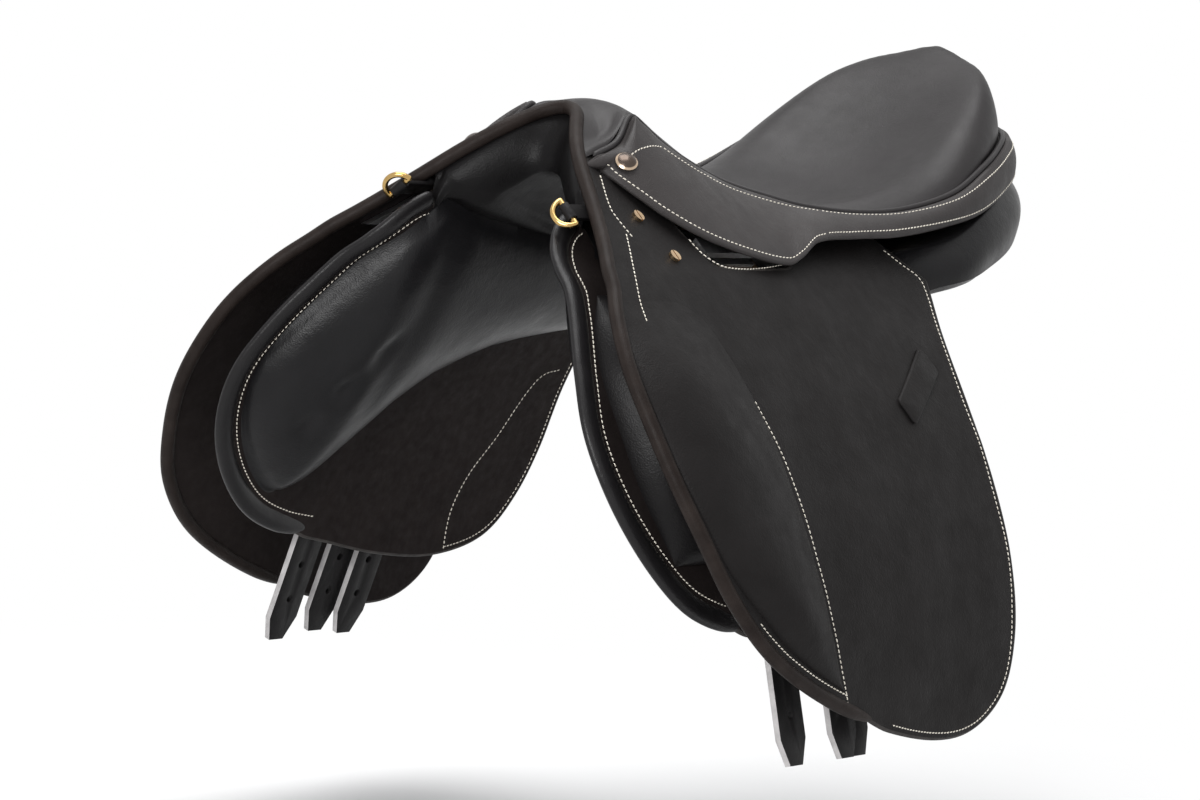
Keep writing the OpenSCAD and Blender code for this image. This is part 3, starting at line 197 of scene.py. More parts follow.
def rim(edge, width, q):
    e = smooth(edge, q)
    return np.array([width / 2 * e[0], seat_front + seat_l * e[1], rises(e[2:])])


def seat_edge(q):
    return rim(SEAT_EDGE, seat_w, q)


def seat_mid(q):
    c = smooth(SEAT_MID, q)
    return np.array([0, seat_front + seat_l * c[0], rises(c[1:])])


def seat_top(q, t):
    """Point of the seat at a place q from front to rear and t from side to side."""
    e, c, a = seat_edge(q), seat_mid(q), abs(t)
    ridge = e[2] + seat_roll * smooth(SEAT_ROLL, q)[0]
    fall = math.sqrt(max(0.0, 1 - ((a - ridge_share) / (1 - ridge_share)) ** 2))
    z = lerp(c[2], ridge, (a / ridge_share) ** 2) if a < ridge_share else lerp(e[2], ridge, fall)
    return np.array([t * e[0], lerp(c[1], e[1], a * a), z])


def seat_under(q, t, depth):
    p, half = seat_top(q, t), seat_edge(q)[0]
    rear = ease((q - rear_share) / (1 - rear_share))
    return np.array([p[0] * (half - depth) / half, p[1] - depth * rear, p[2] - depth])


def edge_out(q):
    d = seat_edge(min(q + 0.01, 1)) - seat_edge(max(q - 0.01, 0))
    return unit([d[1], -d[0], 0])


def skirt_edge(q):
    return rim(SKIRT_EDGE, skirt_w, q)


def skirt_root(q):
    start = seat_edge(q) + edge_out(q) * (2 * seat_welt_r + 2 * gap)
    lean = max(0.0, -unit(skirt_edge(q) - start)[2])
    return start + edge_out(q) * skirt_t * lean


def skirt_chord(q, v):
    return lerp(skirt_root(q), skirt_edge(q), v)


def skirt_normal(q):
    down = skirt_edge(q) - skirt_root(q)
    back = skirt_chord(min(q + 0.02, 1), 0.5) - skirt_chord(max(q - 0.02, 0), 0.5)
    return unit(np.cross(down, back))


def skirt_at(q, v, depth=0.0):
    return skirt_chord(q, v) + skirt_normal(q) * (skirt_crown * 4 * v * (1 - v) - depth)


def skirt_len(q):
    return float(np.linalg.norm(skirt_edge(q) - skirt_root(q)))


class Hide:
    """A hanging hide: an outline in Y and Z, on a section that is straight above the fold line of the flaps and
    curved below it."""

    def __init__(self, outline, front, length, drop, top, slope, spread, power):
        self.outline, self.front, self.length, self.drop = outline, front, length, drop
        self.top, self.slope, self.spread, self.power = top, slope, spread, power

    def edge(self, s):
        back, down = smooth(self.outline, s)
        return np.array([self.front + self.length * back, hinge_h - self.drop * down])

    def inset(self, s, depth):
        """Point of the outline, moved inwards."""
        d = self.edge(min(s + 0.05, self.outline[0][-1, 0])) - self.edge(max(s - 0.05, 0))
        return self.edge(s) + depth * unit([-d[1], d[0]])

    def x(self, z):
        if z > hinge_h:
            return self.top - (z - hinge_h) * self.slope
        return self.top + self.spread * (1 - max(0.0, 1 - (hinge_h - z) / self.drop) ** self.power)

    def normal(self, z):
        n = unit([2, self.x(z - 1) - self.x(z + 1)])
        return np.array([n[0], 0, n[1]])

    def point(self, y, z, out):
        return np.array([self.x(z), y, z]) + out * self.normal(z)


FLAP = Hide(FLAP_CUT, flap_front, flap_l, flap_drop, hinge_x, flap_slope, flap_spread, flap_round)
SWEAT = Hide(SWEAT_CUT, sweat_front, sweat_l, sweat_drop, hinge_x - sweat_stand, sweat_slope, sweat_spread,
             sweat_round)


def head_y(z):
    return head_front + head_back * smooth(HEAD_EDGE, (z - hinge_h) / head_rise)[0]


def panel_y(p):
    return panel_front + panel_l * smooth(PANEL, p)[0]


def wave(p, scale, seed):
    """Soft relief at a point, about -1 to 1, the same in each run."""
    p = np.asarray(p, float) / scale
    rng = np.random.RandomState(seed)
    out = 0.0
    for k in range(7):
        d = rng.normal(size=3)
        d = d / np.linalg.norm(d) * (0.7 + 0.9 * rng.rand())
        out = out + np.sin(p @ d * 2 * math.pi + rng.rand() * 6.28) * (0.9 - 0.07 * k)
    return float(out) / 2.6


# ---- materials


class Nodes:
    """A node tree being made. What is given for an input is linked if it is a socket, and set if not."""

    def __init__(self, owner):
        owner.use_nodes = True
        self.owner, self.tree = owner, owner.node_tree

    def fill(self, node, inputs):
        for key, value in inputs.items():
            if isinstance(value, bpy.types.NodeSocket):
                self.tree.links.new(value, node.inputs[key])
            else:
                node.inputs[key].default_value = value
        return node

    def add(self, kind, inputs, **settings):
        node = self.tree.nodes.new("ShaderNode" + kind)
        for key, value in settings.items():
            setattr(node, key, value)
        return self.fill(node, inputs)

    def largest(self, values):
        """The largest of several numbers."""
        most = values[0]
        for value in values[1:]:
            most = self.add("Math", {0: most, 1: value}, operation="MAXIMUM").outputs[0]
        return most


class Surface(Nodes):
    """A material on one Principled shader, in object coordinates."""

    def __init__(self, name):
        super().__init__(bpy.data.materials.new(name))
        self.shader = self.tree.nodes["Principled BSDF"]
        self.place = self.add("TexCoord", {}).outputs["Object"]

    def noise(self, scale, detail=4.0, rough=0.55, stretch=None, distortion=0.0):
        place = self.place
        if stretch is not None:
            place = self.add("Mapping", {"Vector": place, "Scale": stretch}).outputs["Vector"]
        return self.add("TexNoise", {"Vector": place, "Scale": scale, "Detail": detail, "Roughness": rough,
                                     "Distortion": distortion}).outputs["Fac"]

    def cells(self, scale):
        return self.add("TexVoronoi", {"Vector": self.place, "Scale": scale, "Smoothness": 0.45},
                        feature="SMOOTH_F1").outputs["Distance"]

    def ramp(self, fac, *stops):
        node = self.add("ValToRGB", {"Fac": fac})
        elements = node.color_ramp.elements
        while len(elements) < len(stops):
            elements.new(0.5)
        for i, (position, colour) in enumerate(stops):
            elements[i].position = position
            elements[i].color = (*colour, 1.0)
        return node.outputs["Color"]

    def span(self, fac, low, high, start=0.3, end=0.7):
        return self.add("MapRange", {"Value": fac, "From Min": start, "From Max": end, "To Min": low,
                                     "To Max": high}).outputs["Result"]

    def bump(self, height, distance, strength=1.0, under=None):
        inputs = {"Height": height, "Distance": distance, "Strength": strength}
        if under is not None:
            inputs["Normal"] = under
        return self.add("Bump", inputs).outputs["Normal"]

    def finished(self, **inputs):
        """The material, with inputs of its shader given by names with _ for a space."""
        self.fill(self.shader, {key.replace("_", " "): value for key, value in inputs.items()})
        return self.owner


def leather(name, dark, light, rough, grain, depth, patch, spec, soft=0.0):
    m = Surface(name)
    colour = m.ramp(m.noise(patch, 5.0, 0.6), (0.3, dark), (0.72, light))
    relief = m.bump(m.noise(70.0, 3.0, 0.5), 0.0012, 0.25 + soft)
    relief = m.bump(m.noise(grain * 0.42, 3.0, 0.6), depth * 1.6, 0.5, relief)
    relief = m.bump(m.cells(grain), depth, 0.7, relief)
    return m.finished(Base_Color=colour, Roughness=m.span(m.noise(patch * 3.1, 6.0, 0.65), *rough), Normal=relief,
                      Specular_IOR_Level=spec)


def metal(name, dark, light, rough, spots=220.0, relief=0.4):
    m = Surface(name)
    return m.finished(Base_Color=m.ramp(m.noise(spots, 5.0, 0.65), (0.3, dark), (0.7, light)), Metallic=1.0,
                      Roughness=m.span(m.noise(spots * 2.7, 4.0, 0.6), *rough),
                      Normal=m.bump(m.noise(spots * 4, 3.0, 0.5, (1, 6, 1)), 0.00005, relief))


def coin(name, centre, radius, face, rim):
    """Metal of the pommel nails: a dull face, and a rim painted brighter as a painted highlight, alike on both
    sides.
    """
    m = Surface(name)
    x, y, z = m.add("SeparateXYZ", {0: m.place}).outputs
    across = m.add("Math", {0: x}, operation="ABSOLUTE").outputs[0]
    folded = m.add("CombineXYZ", {0: across, 1: y, 2: z}).outputs[0]
    away = m.add("VectorMath", {0: folded, 1: centre}, operation="DISTANCE").outputs["Value"]
    # mask of the rim, which gets the brighter colour: a painted highlight
    edge = m.span(away, 0.0, 1.0, radius * 0.80, radius * 0.90)
    return m.finished(Base_Color=m.ramp(edge, (0.2, face), (0.8, rim)), Metallic=1.0,
                      Roughness=m.span(m.noise(500.0, 4.0, 0.6), 0.22, 0.36))


def suede(name, dark, light):
    m = Surface(name)
    nap = m.bump(m.noise(1500.0, 3.0, 0.6), 0.00022, 0.7, m.bump(m.noise(95.0, 4.0, 0.6), 0.0010, 0.35))
    return m.finished(Base_Color=m.ramp(m.noise(30.0, 7.0, 0.7), (0.28, dark), (0.74, light)), Normal=nap,
                      Roughness=m.span(m.noise(160.0, 4.0, 0.6), 0.62, 0.86), Specular_IOR_Level=0.08)


def thread(name, dark, light):
    m = Surface(name)
    return m.finished(Base_Color=m.ramp(m.noise(900.0, 3.0, 0.5), (0.3, dark), (0.7, light)), Roughness=0.7,
                      Normal=m.bump(m.noise(2600.0, 2.0, 0.5, (1, 3, 1)), 0.0001, 0.6))


def fibre(name, dark, light, pitch):
    m = Surface(name)
    weave = m.add("TexWave", {"Vector": m.place, "Scale": pitch, "Distortion": 1.2}).outputs["Fac"]
    relief = m.bump(m.noise(1400.0, 3.0, 0.6), 0.0002, 0.5, m.bump(weave, 0.0004, 0.7))
    return m.finished(Base_Color=m.ramp(weave, (0.2, dark), (0.8, light)), Normal=relief, Roughness=0.86)


def timber(name, dark, middle, light):
    m = Surface(name)
    grain = m.noise(60.0, 6.0, 0.6, (9.0, 1.2, 9.0), 0.6)
    return m.finished(Base_Color=m.ramp(grain, (0.3, dark), (0.52, middle), (0.74, light)),
                      Roughness=m.span(grain, 0.42, 0.62), Normal=m.bump(grain, 0.0003, 0.4))


def cellular(name, dark, light):
    m = Surface(name)
    return m.finished(Base_Color=m.ramp(m.noise(40.0), (0.3, dark), (0.7, light)),
                      Normal=m.bump(m.cells(900.0), 0.0006, 0.8), Roughness=0.9)


# leathers: dark and light colour, roughness, grain per metre, its depth, patches per metre, gloss, softness
SEAT = leather("leather_seat", (0.0160, 0.0145, 0.0150), (0.0240, 0.0218, 0.0224), (0.38, 0.50), 1250.0, 0.00009,
               18.0, 0.19)
SKIRTS = leather("leather_skirt", (0.0225, 0.0198, 0.0198), (0.0335, 0.0296, 0.0292), (0.44, 0.58), 950.0, 0.00018,
                 24.0, 0.22, 0.06)
FLAPS = leather("leather_flap", (0.0076, 0.0067, 0.0066), (0.0124, 0.0112, 0.0111), (0.43, 0.58), 900.0, 0.00020,
                24.0, 0.085, 0.12)
PADS = leather("leather_pad", (0.0064, 0.0059, 0.0062), (0.0105, 0.0097, 0.0100), (0.32, 0.46), 950.0, 0.00014,
               20.0, 0.12)
PANELS = leather("leather_panel", (0.0045, 0.0043, 0.0048), (0.0075, 0.0071, 0.0078), (0.30, 0.42), 1100.0, 0.00012,
                 16.0, 0.19, 0.10)
WELTS = leather("leather_welt", (0.0110, 0.0080, 0.0070), (0.0205, 0.0155, 0.0136), (0.40, 0.56), 1300.0, 0.00012,
                60.0, 0.08)
PIPING = leather("leather_piping", (0.0070, 0.0065, 0.0070), (0.0115, 0.0106, 0.0112), (0.28, 0.40), 1100.0, 0.00012,
                 30.0, 0.20)
STRAPS = leather("leather_strap", (0.0075, 0.0071, 0.0074), (0.0120, 0.0113, 0.0116), (0.40, 0.54), 1100.0, 0.00012,
                 40.0, 0.12)
EDGES = leather("leather_edge", (0.020, 0.018, 0.017), (0.046, 0.041, 0.038), (0.55, 0.72), 1500.0, 0.0001,
                90.0, 0.2)
RAW_EDGES = leather("leather_raw_edge", (0.300, 0.290, 0.290), (0.480, 0.465, 0.465), (0.6, 0.76), 1500.0, 0.0001,
                    90.0, 0.2)
LINING = leather("leather_lining", (0.0040, 0.0037, 0.0039), (0.0066, 0.0061, 0.0063), (0.30, 0.44), 1100.0, 0.00014,
                 18.0, 0.085, 0.12)
SUEDE = suede("leather_sweat", (0.0100, 0.0074, 0.0070), (0.0185, 0.0146, 0.0138))
THREAD = thread("thread_cream", (0.56, 0.51, 0.43), (0.82, 0.78, 0.69))
BRASS = metal("brass", (0.42, 0.27, 0.09), (0.58, 0.40, 0.17), (0.16, 0.26), 120.0, 0.06)
BRONZE = metal("bronze", (0.44, 0.30, 0.17), (0.66, 0.48, 0.30), (0.20, 0.34), 220.0, 0.15)
STEEL = metal("steel", (0.46, 0.46, 0.47), (0.62, 0.62, 0.63), (0.28, 0.42))
nail = np.array([v.co for v in NODES["pommel_nails"].data.vertices if v.co[0] > 0])
# nail colours: the face, and the brighter rim, which is a painted highlight
NAILS = coin("bronze_nail", [float(c) for c in (nail.min(0) + nail.max(0)) / 2], 0.007, (0.085, 0.066, 0.055),
             (0.52, 0.40, 0.29))
# dark brown wood: partly a dark stain, partly painted shade, made darker to stand for the dark recess of the cut-out
# where the tree shows
TIMBER = timber("wood_ply", (0.075, 0.042, 0.022), (0.125, 0.076, 0.040), (0.165, 0.105, 0.058))
WEBBING = fibre("webbing_linen", (0.50, 0.45, 0.36), (0.70, 0.65, 0.55), 420.0)
FOAM = cellular("foam_latex", (0.72, 0.66, 0.50), (0.83, 0.79, 0.66))

# the solids that no piece below replaces
CAD_FINISH = {"tree_": TIMBER, "head_plate": STEEL, "gullet_plate": STEEL, "head_rivets": STEEL,
              "seat_web": WEBBING, "girth_web": WEBBING, "pommel_nails": NAILS, "flap_screws": BRONZE,
              "stirrup_bar": STEEL, "bar_catch": STEEL, "dee_ring": BRASS}
for name, node in NODES.items():
    for start, material in CAD_FINISH.items():
        if name.startswith(start):
            for place in node.material_slots:
                place.material = material

# ---- mesh helpers

FLIP = np.array([-1, 1, 1])
ROLL_STEP, HIDE_STEP = 2.4, 7.0
STITCH_PITCH, STITCH_LENGTH, STITCH_WIDTH, STITCH_LIFT = 3.3, 2.4, 0.86, 0.38


def metres(p):
    return tuple(float(c) * MM for c in p)


def mirrored(points, side):
    p = np.array(points, float)
    p[..., 0] *= side
    return p


def raw_mesh(name, verts, faces):
    mesh = bpy.data.meshes.new(name)
    mesh.from_pydata([metres(v) for v in verts], [], [tuple(f) for f in faces])
    return mesh


def placed(name, mesh):
    """An object for a mesh, all its faces smooth."""
    for p in mesh.polygons:
        p.use_smooth = True
    obj = bpy.data.objects.new(name, mesh)
    scene.collection.objects.link(obj)
    return obj


def new_piece(name, verts, faces, material, sharp):
    mesh = raw_mesh(name, verts, faces)
    bm = bmesh.new()
    bm.from_mesh(mesh)
    bmesh.ops.remove_doubles(bm, verts=bm.verts, dist=1e-6)
    bmesh.ops.recalc_face_normals(bm, faces=bm.faces)
    bm.to_mesh(mesh)
    bm.free()
    mesh.materials.append(material)
    obj = placed(name, mesh)
    mesh.set_sharp_from_angle(angle=math.radians(sharp))
    return obj


def loft(name, rings, material, sharp):
    """Closed rings in order, capped at both ends. sharp: angle in degrees above which an edge stays sharp."""
    rings = np.array(rings, float)
    m, n = rings.shape[:2]
    faces = [(i * n + k, i * n + (k + 1) % n, (i + 1) * n + (k + 1) % n, (i + 1) * n + k)
             for i in range(m - 1) for k in range(n)]
    for base in (0, (m - 1) * n):
        faces += [(base + k, base + k + 1, base + n - 2 - k, base + n - 1 - k) for k in range(n // 2 - 1)]
    return new_piece(name, rings.reshape(-1, 3), faces, material, sharp)


def sheet_rings(outer, inner):
    """Rings of a sheet, from rows of its outer and its inner points."""
    return [np.concatenate([o, i[::-1]]) for o, i in zip(np.array(outer, float), np.array(inner, float))]


def across(line):
    """A line from the left side, carried on over the symmetry plane to the right one."""
    return line + [p * FLIP for p in reversed(line)]


def lengths(p):
    """Distance along a line at each of its points."""
    return np.concatenate([[0], np.cumsum(np.linalg.norm(np.diff(p, axis=0), axis=1))])


def along(p, d, at):
    """Points of a line at given distances along it."""
    return np.stack([np.interp(at, d, p[:, k]) for k in range(p.shape[1])], -1)


def relax(p, times):
    """Rows of points softened, the first and the last of them kept."""
    p = p.copy()
    for _ in range(times):
        p[1:-1] = 0.5 * p[1:-1] + 0.25 * (p[:-2] + p[2:])
    return p


def cord_path(points, step):
    """A line in even steps of about a given length, and the distance along it at each point."""
    p = np.array(points, float)
    d = lengths(p)
    at = np.linspace(0, d[-1], max(2, int(round(d[-1] / step))) + 1)
    return along(p, d, at), at


def evened(points, n, times):
    """A line in n even steps, softened."""
    p = np.array(points, float)
    d = lengths(p)
    return relax(along(p, d, np.linspace(0, d[-1], n + 1)), times)


def circle(n):
    return np.arange(n) * 2 * math.pi / n


def roll(name, points, r, material, sides, ends, times, first=None, thick=None, face=None):
    """Roll of leather on a path, with rounded ends (ends: taper length in radii). A flat roll has
    half its thickness in thick, and face gives the way that its flat side looks at a point."""
    path, at = cord_path(points, ROLL_STEP)
    path = relax(path, times)
    tangent = np.gradient(path, axis=0)
    if first is not None:
        tangent[0] = first
    tangent /= np.linalg.norm(tangent, axis=1)[:, None]
    a = unit(np.cross(tangent[0], [0.3, 0.2, 1.0]))
    rings = []
    for i, c in enumerate(path):
        a = np.cross(tangent[i], face(c)) if face else a
        a = unit(a - tangent[i] * float(np.dot(a, tangent[i])))
        b = np.cross(tangent[i], a)
        k = 1.0
        for e, x in zip(ends, (at[i], at[-1] - at[i])):
            if e and x < e * r:
                k = min(k, math.sqrt(max(0.02, 1 - (1 - x / (e * r)) ** 2)))
        rings.append([c + k * (r * math.cos(t) * a + (thick or r) * math.sin(t) * b) for t in circle(sides)])
    return loft(name, rings, material, 60.0)


def inner_line(p, depth):
    """A closed outline moved inwards."""
    d = np.roll(p, -1, 0) - np.roll(p, 1, 0)
    d /= np.linalg.norm(d, axis=1)[:, None]
    n = np.stack([-d[:, 1], d[:, 0]], 1)
    area = np.sum(p[:, 0] * np.roll(p[:, 1], -1) - np.roll(p[:, 0], -1) * p[:, 1])
    return p + n * depth * (1 if area > 0 else -1)


def inside_points(line, depth, zs):
    """Staggered rows of points that lie deeper than depth within a closed outline."""
    low, high = line[:, 0].min(), line[:, 0].max()
    starts = inner_line(line, depth)
    ends = np.roll(starts, -1, 0)
    points = []
    for k, z in enumerate(zs):
        cross = (starts[:, 1] > z) != (ends[:, 1] > z)
        a, b = starts[cross], ends[cross]
        at = a[:, 0] + (z - a[:, 1]) / (b[:, 1] - a[:, 1]) * (b[:, 0] - a[:, 0])
        ys = np.arange(low + (k % 2) * HIDE_STEP / 2, high, HIDE_STEP)
        points += [(y, z) for y in ys if (at > y).sum() % 2 == 1]
    return points


def hide_sheet(name, outline, t, place, zs, step, relief, finishes, side):
    """A hide cut to an outline in Y and Z, its edge rounded, laid on a curved section by place(y, z, out).
    finishes: face, edge and, where it differs from the face, back."""
    line = np.array(outline + [outline[0]], float)
    d = lengths(line)
    n = int(round(d[-1] / step))
    line = along(line, d, np.linspace(0, d[-1], n, endpoint=False))
    r = t / 2
    rings = [(inner_line(line, r * (1 - math.sin(a))), r * (1 - math.cos(a))) for a in np.linspace(0, math.pi, 7)]
    flat = list(rings[0][0]) + inside_points(line, r + 0.6 * step, zs)
    loop = [(i, (i + 1) % n) for i in range(n)]
    pts, _, tris, origin = delaunay_2d_cdt([Vector(p) for p in flat], loop, [], 1, 1e-4)[:4]
    where = {i: k for k, ids in enumerate(origin) for i in ids}
    verts = [place(y, z, relief(y, z)) for y, z in pts] + [place(y, z, -t) for y, z in pts]
    bands = [[where[i] for i in range(n)]]
    for ring, depth in rings[1:-1]:
        bands.append(list(range(len(verts), len(verts) + n)))
        verts += [place(y, z, -depth) for y, z in ring]
    bands.append([len(pts) + where[i] for i in range(n)])
    faces = [tuple(f) for f in tris] + [tuple(len(pts) + i for i in reversed(f)) for f in tris]
    edge_from = len(faces)
    for a, b in zip(bands[:-1], bands[1:]):
        faces += [(a[i], a[(i + 1) % n], b[(i + 1) % n], b[i]) for i in range(n)]
    obj = new_piece(name, mirrored(verts, side), faces, finishes[0], 70.0)
    for material in finishes[1:]:
        obj.data.materials.append(material)
    index = np.zeros(len(faces), np.int32)
    index[edge_from:] = 1
    index[len(tris):edge_from] = 2 if len(finishes) > 2 else 0
    obj.data.polygons.foreach_set("material_index", index)
    return obj


def stitches(name, lines, side=1.0):
    """Rows of thread. lines: [(points, normals)] in millimetres on the surface."""
    verts, faces = [], []
    sides = 6
    for points, normals in lines:
        p, q = mirrored(points, side), mirrored(normals, side)
        d = lengths(p)
        count = int(d[-1] // STITCH_PITCH)
        for i in range(count):
            at = (i + 0.5) * STITCH_PITCH + (d[-1] - count * STITCH_PITCH) / 2
            c, n = along(p, d, at), unit(along(q, d, at))
            e = along(p, d, at + 0.6) - along(p, d, at - 0.6)
            e = unit(e - n * float(np.dot(e, n)))
            s = np.cross(n, e)
            e = unit(e + s * 0.10)
            base = len(verts)
            for f, k in ((-0.5, 0.35), (-0.36, 0.9), (0.0, 1.0), (0.36, 0.9), (0.5, 0.35)):
                verts += [c + e * f * STITCH_LENGTH + s * math.cos(a) * STITCH_WIDTH / 2 * k
                          + n * (math.sin(a) * STITCH_LIFT * k + 0.06 - 0.22 * (2 * f) ** 2) for a in circle(sides)]
            for r in range(base, base + 4 * sides, sides):
                faces += [(r + k, r + (k + 1) % sides, r + sides + (k + 1) % sides, r + sides + k)
                          for k in range(sides)]
            faces.append(tuple(base + k for k in range(sides - 1, -1, -1)))
            faces.append(tuple(base + 4 * sides + k for k in range(sides)))
    mesh = raw_mesh(name, verts, faces)
    mesh.materials.append(THREAD)
    return placed(name, mesh)


def rounded_copy(name, node, width, material, edge=None):
    """A copy of a flat leather solid with its edges rounded over. edge: finish of its cut sides, and the way that
    its face looks."""
    mesh = NODES[node].data.copy()
    mesh.name = name
    bm = bmesh.new()
    bm.from_mesh(mesh)
    bmesh.ops.remove_doubles(bm, verts=bm.verts, dist=1e-5)
    bmesh.ops.dissolve_limit(bm, angle_limit=math.radians(1.5), verts=bm.verts, edges=bm.edges)
    edges = [e for e in bm.edges if len(e.link_faces) == 2 and e.calc_face_angle(0) > math.radians(35)]
    bmesh.ops.bevel(bm, geom=edges, offset=width * MM, segments=2, affect="EDGES", profile=0.5, clamp_overlap=True)
    bmesh.ops.recalc_face_normals(bm, faces=bm.faces)
    bm.to_mesh(mesh)
    bm.free()
    mesh.materials.clear()
    mesh.materials.append(material)
    obj = placed(name, mesh)
    if edge is not None:
        mesh.materials.append(edge[0])
        corners = np.array([v.co for v in mesh.vertices])
        low, high = corners.min(0), corners.max(0)
        for p in mesh.polygons:
            side_on = abs(p.center[1] - (low[1] + high[1]) / 2) > 0.008 or p.center[2] < low[2] + 0.012
            p.material_index = int(side_on and abs(p.normal.dot(edge[1])) < 0.5)
    mesh.set_sharp_from_angle(angle=math.radians(50))
    if mesh.has_custom_normals:
        mesh.attributes.remove(mesh.attributes["custom_normal"])
    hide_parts(node)
    return obj


# ---- front line of the welt

head_line = [(head_y(z), z) for z in steps(hinge_h + head_rise * 0.97, hinge_h + 6, 46)]
welt_cut = [FLAP.inset(s, flap_welt_r) for s in steps(0.12, 8.7, 150)]
welt_leg = [FLAP.point(y, z, -flap_t / 2) for y, z in head_line + welt_cut]
crown = np.array([0.0, head_y(hinge_h + head_rise) + gap, hinge_h + head_rise])
CROWN_RUN = 48.0

# the welt runs over the pommel from side to side, rounded at the crown; its left half is kept
whole_welt = [p * FLIP for p in reversed(welt_leg)] + [crown] + welt_leg
path, at = cord_path(whole_welt, ROLL_STEP)
path, at = cord_path(whole_welt, at[-1] / (2 * round(len(at) / 2)))
middle = len(path) // 2
near = np.array([ease(1.15 - abs(i - middle) * ROLL_STEP / CROWN_RUN) for i in range(len(path))])[:, None]
front_line = (relax(path, 8) * (1 - near) + relax(path, 70) * near)[middle:]
front_line[0, 0] = 0.0
WELT_HEAD = front_line[front_line[:, 2] > hinge_h + 4]


def welt_at(x):
    """Middle of the welt at a distance from the symmetry plane, above the fold of the flaps."""
    return np.array([x] + [float(np.interp(abs(x), WELT_HEAD[:, 0], WELT_HEAD[:, c])) for c in (1, 2)])


# ---- seat

SEAT_ROWS = [k ** 0.92 for k in steps(0, 1, 120)]
SEAT_COLUMNS = [math.sin(a) for a in np.linspace(-math.pi / 2, math.pi / 2, 121)]
SEAT_ACROSS = 72
CANTLE_EDGE = np.array([seat_edge(q) for q in steps(1.0, 0.74, 80)])
CANTLE_ROUND, CANTLE_BOW, CANTLE_HALF, CANTLE_FROM = 15.0, 1.6, 84.0, 90.0


def rolled_over(p, depth):
    """A point of the seat leather, lowered where the cantle rounds over to its rear edge."""
    x = abs(p[0])
    y, z = (float(np.interp(x, CANTLE_EDGE[:, 0], CANTLE_EDGE[:, c])) - depth for c in (1, 2))
    away = min(1.0, max(0.0, (y + CANTLE_BOW * ease(1 - x / CANTLE_EDGE[0, 0]) - p[1]) / CANTLE_ROUND))
    low = z + (p[2] - z) * math.sqrt(1 - (1 - away) ** 2)
    share = ease((CANTLE_HALF - x) / 26) * ease((p[1] - CANTLE_FROM) / 30)
    return np.array([p[0], p[1], lerp(p[2], min(p[2], low), share)])


def seat_grid(depth, lift):
    """Softened rows of the seat leather, the first of them behind the welt."""
    grid = np.array([evened([seat_under(q, t, depth) for t in SEAT_COLUMNS], SEAT_ACROSS, 9) for q in SEAT_ROWS])
    mid = SEAT_ACROSS / 2
    plump = np.array([[ease((q - 0.5) / 0.2) * ease((1 - abs(c / mid - 1)) / 0.45) * ease((1 - q) / 0.1)
                       for c in range(SEAT_ACROSS + 1)] for q in SEAT_ROWS])[:, :, None]
    grid = relax(grid, 4) * (1 - plump) + relax(grid, 40) * plump
    front = np.array([welt_at(p[0]) + np.array([0, 0.6, lift]) for p in grid[0]])
    # the two halves of the edge meet at the middle of the cantle
    rear = [grid[-1] * np.array([k, 1, 1]) + np.array([0, CANTLE_BOW * (1 - k * k), 0])
            for k in (0.8, 0.55, 0.3, 0.1, 0.0)]
    return [front] + [np.array([rolled_over(p, depth) for p in r]) for r in list(grid) + rear]


seat_skin = loft("seat_skin", sheet_rings(seat_grid(0.0, 2.2), seat_grid(cover_t, -0.8)), SEAT, 60.0)
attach(seat_skin, "saddle")
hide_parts("seat_cover")

FOAM_SINK = 8.0
foam_sides = [[[seat_under(q, t, depth + FOAM_SINK * ease((q - 0.5) / 0.35)) for t in steps(-5 / 6, 5 / 6, 24)]
               for q in steps(3 / 26, 25 / 26, 60)]
              for depth in (cover_t + gap, cover_t + gap + foam_t)]
foam = loft("seat_foam_pad", sheet_rings(*foam_sides), FOAM, 50.0)
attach(foam, "saddle")
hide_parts("seat_foam")

welt_line = across([seat_edge(q) + edge_out(q) * (seat_welt_r + gap) for q in steps(0, 1, 150)])
seat_welt_roll = roll("seat_welt_roll", welt_line, seat_welt_r, SEAT, sides=14, ends=(1.0, 1.0),
                      times=3)
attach(seat_welt_roll, "saddle")
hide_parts("seat_welt")

# ---- skirts and band

SKIRT_END = 0.47
# line between the two ends of the lobe's lower edge, about which the lobe folds on the saddle; it is worked out here
# and not used
FOLD_Q = (0.085, SKIRT_END)
FOLD_BEFORE, FOLD_PAST = 3.0, 22.0
fold_a, fold_b = (skirt_at(q, 1.0) for q in FOLD_Q)
fold_down = unit(np.cross(fold_b - fold_a, skirt_normal(sum(FOLD_Q) / 2)))
if np.dot(fold_down, skirt_edge(0.3) - fold_a) < 0:
    fold_down = -fold_down


def leather_strip(q):
    """Ring of the skirt section at a place: outer line, rounded lower edge, inner line, and the turned-in
    upper edge that is sewn in under the welt."""
    e = skirt_t / 2 / skirt_len(q)
    flat = steps(0.0, 1 - e, 26)
    tuck = skirt_at(q, 0.0) - edge_out(q) * (seat_welt_r + gap + 0.5)
    ring = [tuck + np.array([0, 0, -0.9])] + [skirt_at(q, v) for v in flat]
    ring += [skirt_at(q, 1 - e + e * math.sin(a), skirt_t / 2 * (1 - math.cos(a)))
             for a in np.linspace(0, math.pi, 7)[1:-1]]
    ring += [skirt_at(q, v, skirt_t) for v in reversed(flat)] + [tuck + np.array([0, 0, -skirt_t])]
    return np.array(ring + [lerp(ring[-1], ring[0], 0.5)])


def skirt_row(places):
    """A sewn row: points and normals of the skirt surface."""
    return [skirt_at(q, v) for q, v in places], [skirt_normal(q) for q, v in places]


